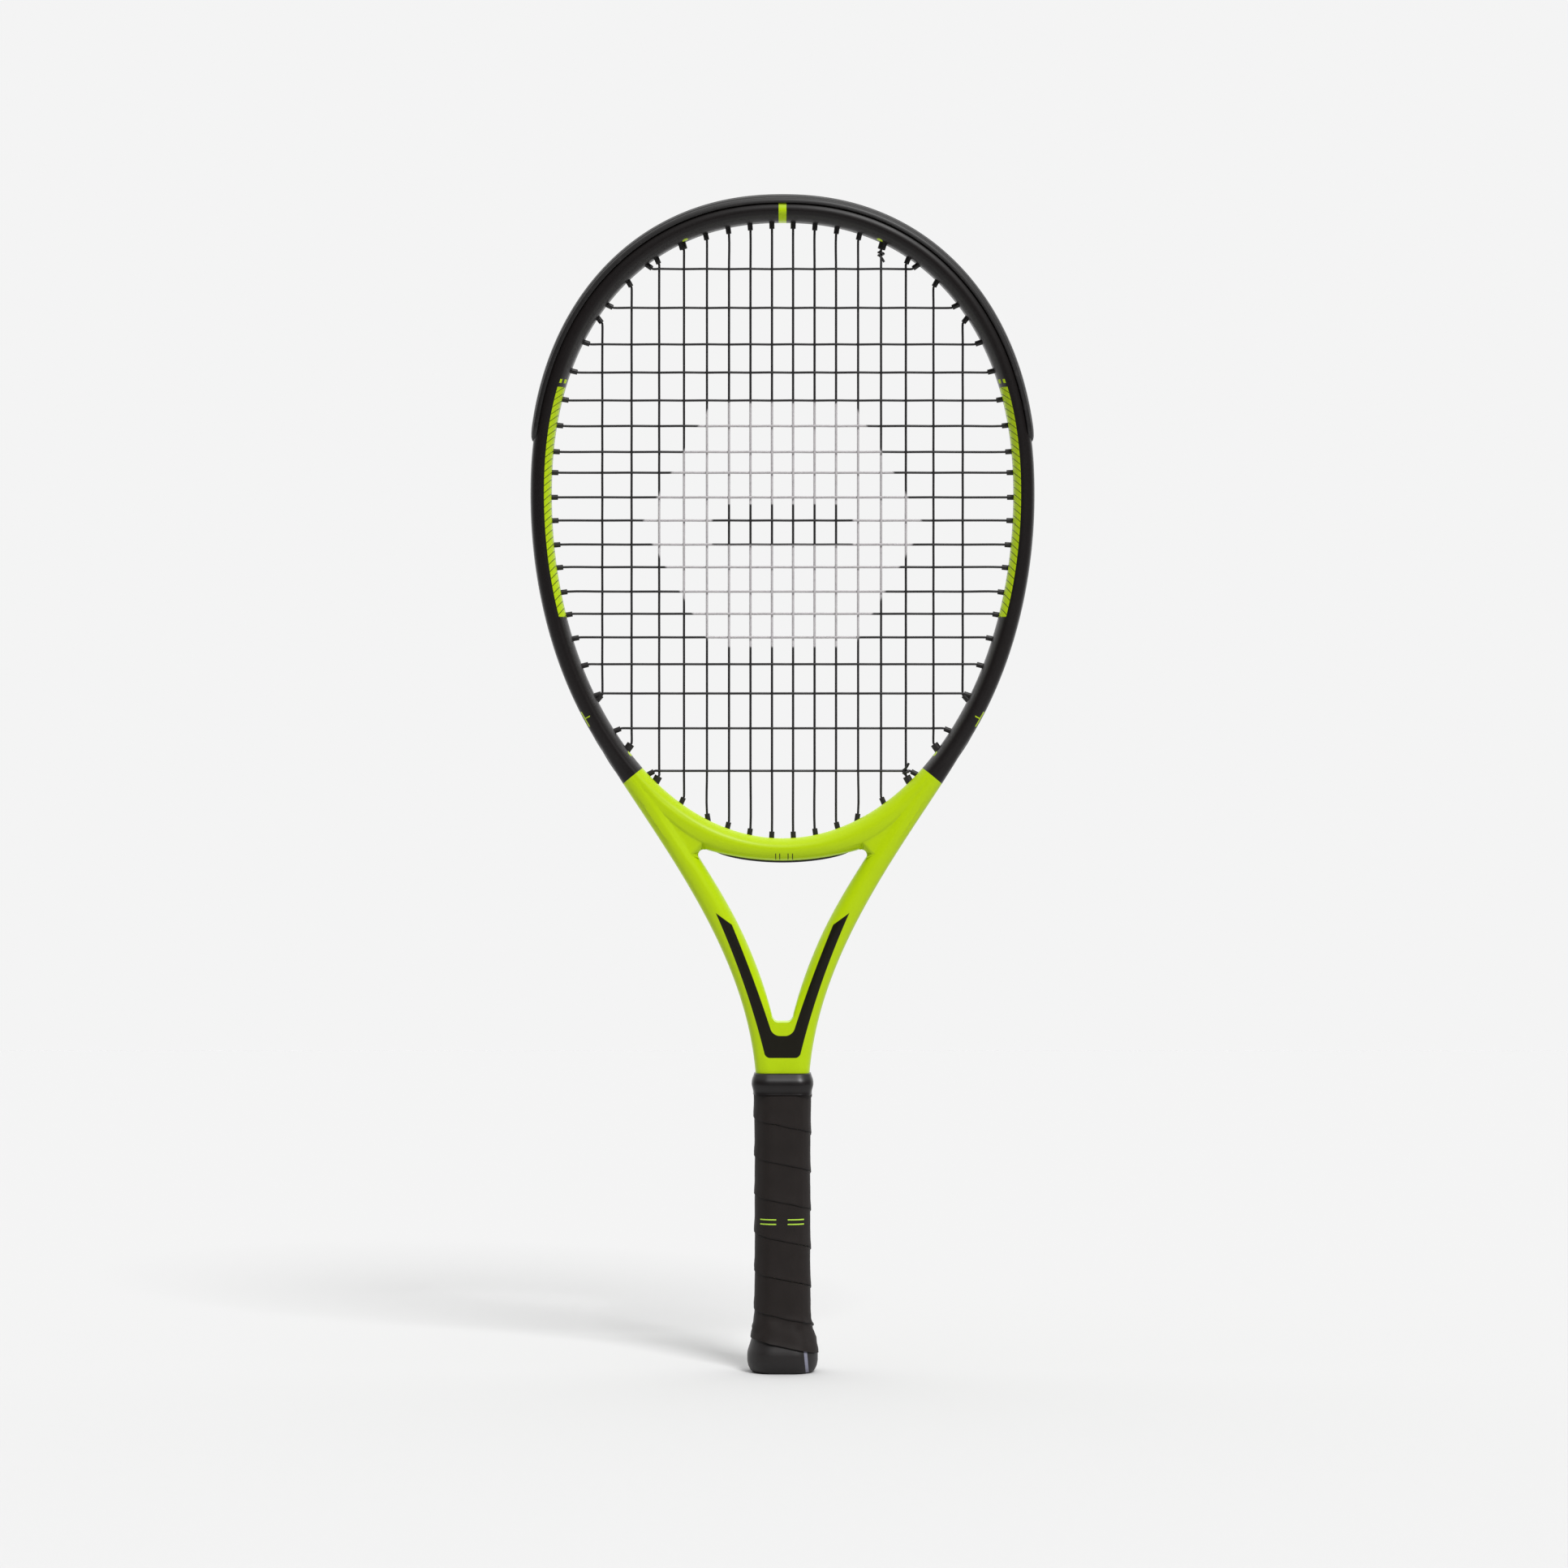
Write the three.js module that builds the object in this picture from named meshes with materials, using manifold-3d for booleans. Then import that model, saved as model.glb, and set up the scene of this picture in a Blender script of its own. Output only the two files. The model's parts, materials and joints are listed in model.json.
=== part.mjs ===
// A 25 inch junior tennis racket, strung. Millimetres, +Z up, standing on its butt.
// The origin is the centre of the butt's bottom, +X is to the right and the front faces -Y.
// Pieces that touch on the real racket are modelled with a 0.3 mm gap between them.
import * as THREE from "three";
import { mergeVertices } from "three/addons/utils/BufferGeometryUtils.js";
import Module from "manifold-3d";

const wasm = await Module();
wasm.setup();

const GAP = 0.3;

// hoop: the inner edge is an egg of two half superellipses that meet at its widest place
const HOOP_CENTRE_Z = 473;
const HOOP_HALF_WIDTH = 124.7;
const HOOP_TOP_HEIGHT = 147.3;
const HOOP_BOTTOM_HEIGHT = 185.3;
const HOOP_TOP_POWER = 2.2;
const HOOP_BOTTOM_POWER = 2.0;

// hollow graphite tube, bent like a hairpin: both shafts and the hoop are one piece
const RIM_WIDTH = 11.3;
const ARM_WIDTH = 14.5;
const BEAM_HALF_DEPTH = 10.5;
const WALL = 1.25;
const ARM_START = THREE.MathUtils.degToRad(-52);
const SHAFT_HALF_WIDTH = 14;
const SHAFT_FOOT_Z = 150;
const TANG_HALF_WIDTH = 11;
const TANG_HALF_DEPTH = 9;
const TANG_TOP_Z = 138;
const TANG_FOOT_Z = 6;
const THROAT_FOOT_Z = 188.7;
const WEB_WIDTH = 11;
const WEB_DEPTH = 17.5;
const BRIDGE_UNDERSIDE_Z = 275.6;
const BRIDGE_BEVEL = 1;
const HOOP_STEPS = 26;
const ARM_STEPS = 9;

// string channel in the outside of the rim, and the grommet strips that lie in it
const CHANNEL_HALF_WIDTH = 3.15;
const CHANNEL_FLOOR = 8.1;
const CHANNEL_END_Z = 282;
const STRIP_THICKNESS = 1.2;
const BUMPER_PROUD = 3.4;
const BUMPER_END = THREE.MathUtils.degToRad(11.5);
const BUMPER_STEPS = 13;
const BRIDGE_STRIP_LENGTH = 76;
const BARREL_LENGTH = 3.3;
const BARREL_RADIUS = 1.4;
const BORE_RADIUS = 1;
const HOLE_LEAN = 0.35;
const TIE_BARREL_RADIUS = 2.15;
const TIE_BORE_RADIUS = 1.75;
const ROUND_SIDES = 5;

// string bed: 16 mains and 19 crosses of one string
const STRING_RADIUS = 0.65;
const MAINS_X = [5.7, 17.3, 28.9, 40.8, 53.2, 66.6, 81.5, 97.3];
const CROSSES_Z = [595.1, 574.1, 554.4, 539.2, 524.1, 510.3, 496.3, 485.1, 471.8, 459.3,
  446.3, 434.1, 420.9, 408.9, 396.2, 381.7, 365.9, 347.1, 324.1];
const WEAVE_HEIGHT = 1.36;
const STRING_BEND = 4.0;
const LANE = 1.4;
const TIE_SPREAD = 0.72;
const TURN = 1.7;
const BULGE_END = THREE.MathUtils.degToRad(-62);
const EIGHT_MEAN_RADII = 1150;

// handle
const PALLET_HALF_WIDTH = 13.2;
const PALLET_HALF_DEPTH = 11.9;
const PALLET_TOP_Z = 136;
const PALLET_FOOT_Z = 3.8;
const GRIP_FOOT_Z = 13.9;
const GRIP_TOP_Z = 149.3;
const COLLAR_FOOT_Z = 149.6;
const BADGE_RADIUS = 9;
const BADGE_DEPTH = 1.6;
const STAPLE_Z = 20;
const STAPLE_X = 4.6;

const group = new THREE.Group();
group.name = "tennis_racket";

// ---- shared helpers -------------------------------------------------------------------

// turn a three.js geometry into a solid that can be joined and cut
function solidOf(geometry) {
  const bare = geometry.clone();
  bare.deleteAttribute("normal");
  bare.deleteAttribute("uv");
  const merged = mergeVertices(bare, 1e-4);
  const corners = Array.from(merged.index.array);
  if (signedVolume(merged.attributes.position, corners) < 0) corners.reverse();
  const mesh = new wasm.Mesh({
    numProp: 3,
    vertProperties: new Float32Array(merged.attributes.position.array),
    triVerts: new Uint32Array(corners),
  });
  return new wasm.Manifold(mesh);
}

function signedVolume(position, corners) {
  const [a, b, c] = [new THREE.Vector3(), new THREE.Vector3(), new THREE.Vector3()];
  let volume = 0;
  for (let i = 0; i < corners.length; i += 3) {
    a.fromBufferAttribute(position, corners[i]);
    b.fromBufferAttribute(position, corners[i + 1]);
    c.fromBufferAttribute(position, corners[i + 2]);
    volume += a.dot(b.cross(c)) / 6;
  }
  return volume;
}

function geometryOf(solid) {
  const mesh = solid.getMesh();
  const geometry = new THREE.BufferGeometry();
  geometry.setAttribute("position", new THREE.Float32BufferAttribute(mesh.vertProperties, 3));
  geometry.setIndex(Array.from(mesh.triVerts));
  geometry.computeVertexNormals();
  return geometry;
}

function addPiece(name, solid, colour, roughness, metalness = 0) {
  const material = new THREE.MeshStandardMaterial({ color: colour, roughness, metalness });
  const mesh = new THREE.Mesh(geometryOf(solid), material);
  mesh.name = name;
  group.add(mesh);
}

// an outline runs anticlockwise, whichever way its points were given
function shapeOf(points, holePoints = null) {
  const outline = points.map(([x, y]) => new THREE.Vector2(x, y));
  if (THREE.ShapeUtils.isClockWise(outline)) outline.reverse();
  const shape = new THREE.Shape(outline);
  if (holePoints) {
    shape.holes.push(new THREE.Path(holePoints.map(([x, y]) => new THREE.Vector2(x, y))));
  }
  return shape;
}

// extrude a section through numbered stations: place(x, y, station) gives each corner's place
function sweep(shape, stations, place) {
  const steps = stations.length - 1;
  const geometry = new THREE.ExtrudeGeometry(shape, { depth: steps, steps, bevelEnabled: false });
  const position = geometry.attributes.position;
  for (let i = 0; i < position.count; i += 1) {
    const station = stations[Math.round(position.getZ(i))];
    const point = place(position.getX(i), position.getY(i), station);
    position.setXYZ(i, point.x, point.y, point.z);
  }
  return solidOf(geometry);
}

// stack a section of half-size 1 through levels of [z, half width, half depth]
function stack(section, levels) {
  const place = (x, y, [z, halfWidth, halfDepth]) =>
    new THREE.Vector3(x * halfWidth, y * halfDepth, z);
  return sweep(shapeOf(section), levels, place);
}

function box(width, depth, height, x, y, z) {
  return solidOf(new THREE.BoxGeometry(width, depth, height).translate(x, y, z));
}

// five-sided rod between two places
function rod(from, to, radius) {
  const along = new THREE.Vector3().subVectors(to, from);
  const geometry = new THREE.CylinderGeometry(radius, radius, along.length(), ROUND_SIDES);
  geometry.rotateX(Math.PI / 2);
  const turn = new THREE.Matrix4().lookAt(to, from, new THREE.Vector3(0, 1, 0));
  geometry.applyMatrix4(turn);
  const middle = new THREE.Vector3().addVectors(from, to).multiplyScalar(0.5);
  geometry.translate(middle.x, middle.y, middle.z);
  return solidOf(geometry);
}

function inPlane(point, y = 0) {
  return new THREE.Vector3(point.x, y, point.y);
}

// ---- the hoop's inner edge, in the plane of the strings -------------------------------

function hoopEdge(angle) {
  const upper = Math.sin(angle) >= 0;
  const power = upper ? HOOP_TOP_POWER : HOOP_BOTTOM_POWER;
  const height = upper ? HOOP_TOP_HEIGHT : HOOP_BOTTOM_HEIGHT;
  const across = (Math.abs(Math.cos(angle)) / HOOP_HALF_WIDTH) ** power;
  const up = (Math.abs(Math.sin(angle)) / height) ** power;
  const reach = (across + up) ** (-1 / power);
  return new THREE.Vector2(reach * Math.cos(angle), HOOP_CENTRE_Z + reach * Math.sin(angle));
}

function hoopNormal(angle) {
  const along = hoopEdge(angle + 1e-3).sub(hoopEdge(angle - 1e-3)).normalize();
  return new THREE.Vector2(along.y, -along.x);
}

// a place on the hoop, measured outwards from its inner edge
function rimPoint(angle, outwards) {
  return hoopEdge(angle).addScaledVector(hoopNormal(angle), outwards);
}

// ---- the hairpin: stations from the right shaft's foot over the hoop to the left foot --

const armStart = rimPoint(ARM_START, RIM_WIDTH);
const armCurve = new THREE.CubicBezierCurve(
  armStart,
  new THREE.Vector2(71.8, 290.3),
  new THREE.Vector2(SHAFT_HALF_WIDTH, 227.8),
  new THREE.Vector2(SHAFT_HALF_WIDTH, SHAFT_FOOT_Z),
);

function armStation(t) {
  const outer = armCurve.getPoint(t);
  const along = armCurve.getTangent(t);
  const normal = new THREE.Vector2(-along.y, along.x);
  const swelling = THREE.MathUtils.smoothstep(t, 0, 0.35);
  const narrowing = THREE.MathUtils.smoothstep(t, 0.6, 1);
  const shaftWidth = SHAFT_HALF_WIDTH - GAP / 2;
  let width = THREE.MathUtils.lerp(RIM_WIDTH, ARM_WIDTH, swelling);
  width = THREE.MathUtils.lerp(width, shaftWidth, narrowing);
  const inner = outer.clone().addScaledVector(normal, -width);
  const channel = 1 - THREE.MathUtils.smoothstep(CHANNEL_END_Z - outer.y, 0, 25);
  return { inner, normal, width, halfDepth: BEAM_HALF_DEPTH, channel };
}

function tangStation(z, halfWidth, halfDepth) {
  const inner = new THREE.Vector2(GAP / 2, z);
  const normal = new THREE.Vector2(1, 0);
  return { inner, normal, width: halfWidth - GAP / 2, halfDepth, channel: 0 };
}

function hoopStation(angle) {
  const normal = hoopNormal(angle);
  return {
    inner: hoopEdge(angle), normal, width: RIM_WIDTH, halfDepth: BEAM_HALF_DEPTH, channel: 1,
  };
}

// distance of the channel's floor from the tube's inner edge
function channelFloor(station) {
  const depth = (1 - CHANNEL_FLOOR / RIM_WIDTH) * station.channel;
  return (1 - depth) * station.width;
}

function mirrored(station) {
  const inner = new THREE.Vector2(-station.inner.x, station.inner.y);
  const normal = new THREE.Vector2(-station.normal.x, station.normal.y);
  return { ...station, inner, normal };
}

function hairpinStations() {
  const right = [
    tangStation(TANG_FOOT_Z, TANG_HALF_WIDTH, TANG_HALF_DEPTH),
    tangStation(TANG_TOP_Z, TANG_HALF_WIDTH, TANG_HALF_DEPTH),
  ];
  for (let i = 0; i < ARM_STEPS; i += 1) {
    right.push(armStation(1 - (i / ARM_STEPS) ** 1.15));
  }
  for (let i = 0; i < HOOP_STEPS; i += 1) {
    right.push(hoopStation(THREE.MathUtils.lerp(ARM_START, Math.PI / 2, i / HOOP_STEPS)));
  }
  const left = right.map(mirrored).reverse();
  return [...right, hoopStation(Math.PI / 2), ...left];
}

// section of the tube: across is 0 at the inner edge and 1 outside, deep is -1 to 1.
// The outside is a crowned beam with chamfered inner corners; the bore follows it.
function hairpinSection() {
  const floor = CHANNEL_FLOOR / RIM_WIDTH;
  const half = CHANNEL_HALF_WIDTH / BEAM_HALF_DEPTH;
  const front = [[0, 0.5], [0.3, 0.97], [0.62, 1], [0.93, 0.78], [1, half], [floor, half]];
  return mirroredSection(front);
}

function boreSection() {
  const side = WALL / RIM_WIDTH;
  const floor = CHANNEL_FLOOR / RIM_WIDTH - side;
  const half = (CHANNEL_HALF_WIDTH + WALL) / BEAM_HALF_DEPTH;
  const front = [[side, 0.45], [0.36, 0.85], [0.62, 0.87], [1 - side, half], [floor, half]];
  return mirroredSection(front);
}

function mirroredSection(front) {
  const back = front.map(([across, deep]) => [across, -deep]).reverse();
  return [...front, ...back];
}

// past the channel's end its floor rises almost to the rim's outer face
function hairpinPlace(across, deep, station) {
  const floor = CHANNEL_FLOOR / RIM_WIDTH;
  const wall = WALL / RIM_WIDTH;
  const inChannel = Math.abs(across - floor) < 1e-4 || Math.abs(across - floor + wall) < 1e-4;
  const sunk = Math.max(station.channel, 0.03);
  const raised = across + (1 - floor) * (1 - sunk);
  const reach = (inChannel ? raised : across) * station.width;
  const point = station.inner.clone().addScaledVector(station.normal, reach);
  return inPlane(point, deep * station.halfDepth);
}

// ---- string holes ---------------------------------------------------------------------

const QUARTER = Math.PI / 2;
const FIRST_TIED_MAIN = 4;
const LAST_TIED_MAIN = 5;

// a hole's axis leans from the rim's normal towards the run of its string
function leaning(along) {
  return (angle) => hoopNormal(angle).multiplyScalar(1 - HOLE_LEAN)
    .addScaledVector(along, HOLE_LEAN).normalize();
}

// the angle where a string that leaves its barrel's end runs along x or y of the plane
function findAngle(from, to, wanted, direction, axisAt) {
  const reachedAt = (angle) => {
    const end = hoopEdge(angle).addScaledVector(axisAt(angle), -STRING_BEND);
    return end[direction];
  };
  let [low, high] = [from, to];
  const rising = reachedAt(to) > reachedAt(from);
  for (let i = 0; i < 40; i += 1) {
    const middle = (low + high) / 2;
    if ((reachedAt(middle) < wanted) === rising) low = middle;
    else high = middle;
  }
  return (low + high) / 2;
}

// outer is the distance along the axis from the hoop's inner edge to the channel's floor
function hole(side, angle, axisAt, wide = false) {
  const axis = axisAt(angle);
  const place = { side, angle, axis, wide };
  const isOnHoop = angle > ARM_START;
  place.outer = isOnHoop ? CHANNEL_FLOOR / axis.dot(hoopNormal(angle)) : armDepthAt(place);
  return place;
}

function armDepthAt(place) {
  const start = hoopEdge(place.angle);
  let nearest = { sideways: Infinity, reach: 0 };
  for (let t = 0; t < 0.6; t += 0.002) {
    const station = armStation(t);
    const floor = station.inner.clone().addScaledVector(station.normal, channelFloor(station));
    const away = floor.sub(start);
    const sideways = Math.abs(away.cross(place.axis));
    if (sideways < nearest.sideways) nearest = { sideways, reach: away.dot(place.axis) };
  }
  return nearest.reach;
}

// a place on a hole's axis, measured outwards from the hoop's inner edge
function holePoint(place, outwards, y = 0) {
  const point = hoopEdge(place.angle).addScaledVector(place.axis, outwards);
  return new THREE.Vector3(place.side * point.x, y, point.y);
}

const acrossAxis = leaning(new THREE.Vector2(1, 0));
const topAxis = leaning(new THREE.Vector2(0, 1));
const bottomAxis = leaning(new THREE.Vector2(0, -1));
const bridgeCornerAxis = () => new THREE.Vector2(-0.15, -1).normalize();
const bottomAxes = MAINS_X.map((_, i) => (i === 3 ? bridgeCornerAxis : bottomAxis));

const topAngles = MAINS_X.map((x) => findAngle(0.1, QUARTER, x, "x", topAxis));
const bottomAngles = MAINS_X.map((x, i) => findAngle(-QUARTER, -0.1, x, "x", bottomAxes[i]));
const crossAngles = CROSSES_Z.map((z) => findAngle(-1.4, 1.4, z, "y", acrossAxis));

function mainTop(side, i) {
  return hole(side, topAngles[i], topAxis, i === FIRST_TIED_MAIN);
}

// mains 1 to 4 pass through the bridge, and 5 and 6 through the bridge and the arm
function mainBottom(side, i) {
  const place = hole(side, bottomAngles[i], bottomAxes[i], i === LAST_TIED_MAIN || i === 6);
  if (i <= 3) {
    const channelRoof = BRIDGE_UNDERSIDE_Z + RIM_WIDTH - CHANNEL_FLOOR;
    place.outer = (hoopEdge(place.angle).y - channelRoof) / -place.axis.y;
  }
  return place;
}

function crossEnd(side, i) {
  return hole(side, crossAngles[i], acrossAxis);
}

function holesOf(side) {
  const mains = [...MAINS_X.keys()];
  const crosses = [...CROSSES_Z.keys()];
  const isUnderBumper = (i) => crossAngles[i] > BUMPER_END;
  return {
    bumper: [
      ...mains.map((i) => mainTop(side, i)),
      ...crosses.filter(isUnderBumper).map((i) => crossEnd(side, i)),
    ],
    strip: [
      ...crosses.filter((i) => !isUnderBumper(i)).map((i) => crossEnd(side, i)),
      mainBottom(side, 6),
      mainBottom(side, 7),
    ],
    bridge: [0, 1, 2, 3].map((i) => mainBottom(side, i)),
    yoke: [4, 5].map((i) => mainBottom(side, i)),
  };
}

const holes = { right: holesOf(1), left: holesOf(-1) };
const everyHole = [holes.right, holes.left].flatMap((one) => Object.values(one).flat());

function drill(solid, places) {
  return places.reduce((body, place) => {
    const radius = (place.wide ? TIE_BARREL_RADIUS : BARREL_RADIUS) + 1.2 * GAP;
    const cutter = rod(holePoint(place, -3), holePoint(place, place.outer + 4), radius);
    return body.subtract(cutter);
  }, solid);
}

function addBarrels(solid, places, root) {
  let body = solid;
  for (const place of places) {
    const radius = place.wide ? TIE_BARREL_RADIUS : BARREL_RADIUS;
    const head = holePoint(place, place.outer + root);
    body = body.add(rod(holePoint(place, -BARREL_LENGTH), head, radius));
  }
  for (const place of places) {
    const radius = place.wide ? TIE_BORE_RADIUS : BORE_RADIUS;
    const mouth = holePoint(place, place.outer + 3);
    body = body.subtract(rod(holePoint(place, -BARREL_LENGTH - 1), mouth, radius));
  }
  return body;
}

// ---- frame and throat bridge ----------------------------------------------------------

function makeFrame() {
  const tube = sweep(
    shapeOf(hairpinSection(), boreSection()), hairpinStations(), hairpinPlace,
  );
  const webHeight = THROAT_FOOT_Z - SHAFT_FOOT_Z;
  const web = box(WEB_WIDTH, WEB_DEPTH, webHeight, 0, 0, SHAFT_FOOT_Z + webHeight / 2);
  return drill(tube.add(web), everyHole);
}

// the crescent that fills the yoke between the hoop, the arms and the throat
function bridgeOutline(inset, tipAngle, tipReach) {
  const points = [];
  for (let i = 0; i <= 7; i += 1) {
    const angle = THREE.MathUtils.lerp(-QUARTER, THREE.MathUtils.degToRad(tipAngle), i / 7);
    points.push(rimPoint(angle, inset));
  }
  for (let i = 0; i <= 4; i += 1) {
    const station = armStation(THREE.MathUtils.lerp(tipReach, 0.425, i / 4));
    points.push(station.inner.clone().addScaledVector(station.normal, -GAP - inset));
  }
  points.push(new THREE.Vector2(39.6 - inset, BRIDGE_UNDERSIDE_Z + inset));
  const right = points.slice(1);
  const left = right.map((point) => new THREE.Vector2(-point.x, point.y)).reverse();
  return [...left, points[0], ...right];
}

function bridgeSlab(outline, halfDepth, bevel) {
  const geometry = new THREE.ExtrudeGeometry(new THREE.Shape(outline), {
    depth: 2 * (halfDepth - bevel), bevelEnabled: bevel > 0, bevelSegments: 1,
    bevelThickness: bevel, bevelSize: bevel, bevelOffset: -bevel,
  });
  geometry.translate(0, 0, bevel - halfDepth).rotateX(Math.PI / 2);
  return solidOf(geometry);
}

function makeThroatBridge() {
  const wall = 2 * WALL;
  const outside = bridgeSlab(bridgeOutline(0, -69, 0.26), BEAM_HALF_DEPTH, BRIDGE_BEVEL);
  const cavity = bridgeSlab(bridgeOutline(wall, -74, 0.34), BEAM_HALF_DEPTH - wall, 0);
  const width = 2 * CHANNEL_HALF_WIDTH;
  const depth = RIM_WIDTH - CHANNEL_FLOOR;
  const roof = box(80, width + wall, depth + 1.5, 0, 0, BRIDGE_UNDERSIDE_Z + (depth + 1.5) / 2);
  const channel = box(90, width, depth + 2, 0, 0, BRIDGE_UNDERSIDE_Z + depth / 2 - 1);
  const body = outside.subtract(cavity).add(roof.intersect(outside)).subtract(channel);
  return drill(body, everyHole);
}

// ---- bumper guard, grommet strips and single grommets ---------------------------------

// a U over the rim's outside, thickest at the top, with an open channel for the string
function makeBumperGuard() {
  const floor = CHANNEL_FLOOR + GAP;
  const seat = RIM_WIDTH + GAP;
  const outside = CHANNEL_HALF_WIDTH - GAP;
  const front = [[floor, outside], [seat, outside], [seat, 6], [10.75, 8.65], [9.2, 9.6],
    [9.7, 10.35], [12.6, 9.0], [14.1, 6.4], [RIM_WIDTH + BUMPER_PROUD, 3.6], [14.2, 2.25],
    [floor + STRIP_THICKNESS, 2.25]];
  const stations = [];
  for (let i = -BUMPER_STEPS; i <= BUMPER_STEPS; i += 1) {
    const t = i / BUMPER_STEPS;
    const angle = QUARTER - t * (QUARTER - BUMPER_END);
    stations.push({ angle, swell: THREE.MathUtils.lerp(1, 0.25, Math.abs(t) ** 1.5) });
  }
  const place = (out, deep, { angle, swell }) => {
    const reach = out > seat + 0.01 ? seat + (out - seat) * swell : out;
    return inPlane(rimPoint(angle, reach), deep);
  };
  const guard = sweep(shapeOf(mirroredSection(front)), stations, place);
  return addBarrels(guard, [...holes.right.bumper, ...holes.left.bumper], GAP + 0.6);
}

// follows the channel's floor from the bumper's tip down to the arm
function makeSideStrip(side) {
  const half = CHANNEL_HALF_WIDTH - GAP;
  const section = [[GAP, -half], [GAP + STRIP_THICKNESS, -half],
    [GAP + STRIP_THICKNESS, half], [GAP, half]];
  const stations = [];
  const top = BUMPER_END - 0.012;
  for (let i = 0; i <= 12; i += 1) {
    stations.push(hoopStation(THREE.MathUtils.lerp(top, ARM_START, i / 12)));
  }
  for (let i = 1; i <= 4; i += 1) stations.push(armStation((i / 4) * 0.195));
  const place = (above, deep, station) => {
    const reach = channelFloor(station) + above;
    const point = station.inner.clone().addScaledVector(station.normal, reach);
    return new THREE.Vector3(side * point.x, deep, point.y);
  };
  const strip = sweep(shapeOf(section), stations, place);
  return addBarrels(strip, side > 0 ? holes.right.strip : holes.left.strip, GAP + 0.6);
}

function makeBridgeStrip() {
  const roof = BRIDGE_UNDERSIDE_Z + RIM_WIDTH - CHANNEL_FLOOR - GAP;
  const length = BRIDGE_STRIP_LENGTH;
  const rail = 0.6;
  const width = 2 * (CHANNEL_HALF_WIDTH - GAP);
  let body = box(length, width, STRIP_THICKNESS, 0, 0, roof - STRIP_THICKNESS / 2);
  const railHeight = roof - BRIDGE_UNDERSIDE_Z + 0.4;
  for (const side of [-1, 1]) {
    const y = side * (width - rail) / 2;
    body = body.add(box(length - 9, rail, railHeight, 0, y, roof - railHeight / 2));
  }
  return addBarrels(body, [...holes.right.bridge, ...holes.left.bridge], GAP + 0.6);
}

// a single grommet: a long plain barrel through the bridge and the arm
function makeCornerGrommet(place) {
  const radius = place.wide ? TIE_BARREL_RADIUS : BARREL_RADIUS;
  const bore = place.wide ? TIE_BORE_RADIUS : BORE_RADIUS;
  const barrel = rod(holePoint(place, -BARREL_LENGTH), holePoint(place, place.outer + 0.5), radius);
  const opening = rod(holePoint(place, -BARREL_LENGTH - 1), holePoint(place, place.outer + 2), bore);
  return barrel.subtract(opening);
}

// ---- the string: one piece, woven, tied off twice -------------------------------------

class Route extends THREE.Curve {
  constructor(points) {
    super();
    this.points = points;
  }

  getPointAt(t) {
    return this.points[Math.round(t * (this.points.length - 1))].clone();
  }

  getTangentAt(t) {
    const i = Math.round(t * (this.points.length - 1));
    const before = this.points[Math.max(i - 1, 0)];
    const after = this.points[Math.min(i + 1, this.points.length - 1)];
    const here = this.points[i];
    const incoming = new THREE.Vector3().subVectors(here, before).normalize();
    const outgoing = new THREE.Vector3().subVectors(after, here).normalize();
    return incoming.add(outgoing).normalize();
  }
}

const STRING_LEVEL = GAP + STRIP_THICKNESS + STRING_RADIUS + 0.12;

// where a string passes above the channel's floor, outside a hole
function levelPoint(place, y, raised = 0) {
  return holePoint(place, place.outer + STRING_LEVEL + raised, y);
}

function middleOfRun(from, to, lane, length) {
  const angle = (from.angle + to.angle) / 2;
  const onHoop = Math.min(from.angle, to.angle) > ARM_START;
  if (onHoop && from.side === to.side) {
    return levelPoint(hole(from.side, angle, hoopNormal), lane, 0.15);
  }
  const bulge = angle > BULGE_END ? length ** 2 / EIGHT_MEAN_RADII : 0;
  const axis = new THREE.Vector2().addVectors(from.axis, to.axis).normalize();
  const middle = new THREE.Vector3().addVectors(levelPoint(from, lane), levelPoint(to, lane));
  middle.multiplyScalar(0.5);
  middle.x += from.side * axis.x * bulge;
  middle.z += axis.y * bulge;
  return middle;
}

// out of one hole, along the channel in a lane, and into the next hole
function channelRun(from, to, { lane, yFrom = 0, yTo = 0, raised = 0, via = [] }) {
  const start = levelPoint(from, yFrom, raised - 0.3);
  const end = levelPoint(to, yTo, raised - 0.3);
  const lastLane = via.length > 0 ? via.at(-1).lane : lane;
  const between = via.map((stop) => levelPoint(
    hole(from.side, stop.angle, hoopNormal), stop.lane, raised,
  ));
  const length = start.distanceTo(end);
  if (via.length === 0 && length > 12) between.push(middleOfRun(from, to, lane, length));
  const after = new THREE.Vector3().subVectors(between[0] ?? end, start).setLength(TURN);
  const before = new THREE.Vector3().subVectors(between.at(-1) ?? start, end).setLength(TURN);
  const leaving = levelPoint(from, 0, raised).add(after);
  const entering = levelPoint(to, 0, raised).add(before);
  leaving.y = lane;
  entering.y = lastLane;
  return [start, leaving, ...between, entering, end];
}

function barrelEnd(place, y = 0) {
  return holePoint(place, -STRING_BEND, y);
}

// the free end: one and a half turns around the main string beside it
function knotTurns(x, z, upwards) {
  const points = [];
  const radius = 2 * STRING_RADIUS + 0.12;
  for (let i = 1; i <= 11; i += 1) {
    const turn = QUARTER + (i * Math.PI) / 4;
    const y = radius * Math.sin(turn) - TIE_SPREAD;
    points.push(new THREE.Vector3(x + radius * Math.cos(turn), y, z + upwards * i * 0.2));
  }
  return points;
}

// a main's two ends, from the first to the second: a doubled hole holds it off centre
function mainRun(first, second, x) {
  const yOf = (place) => (isShared(place) ? -TIE_SPREAD : 0);
  const points = [barrelEnd(first, yOf(first))];
  if (isShared(first)) points.push(...besideKnot(first, x));
  if (isShared(second)) points.push(...besideKnot(second, x).reverse());
  points.push(barrelEnd(second, yOf(second)));
  return points;
}

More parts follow.
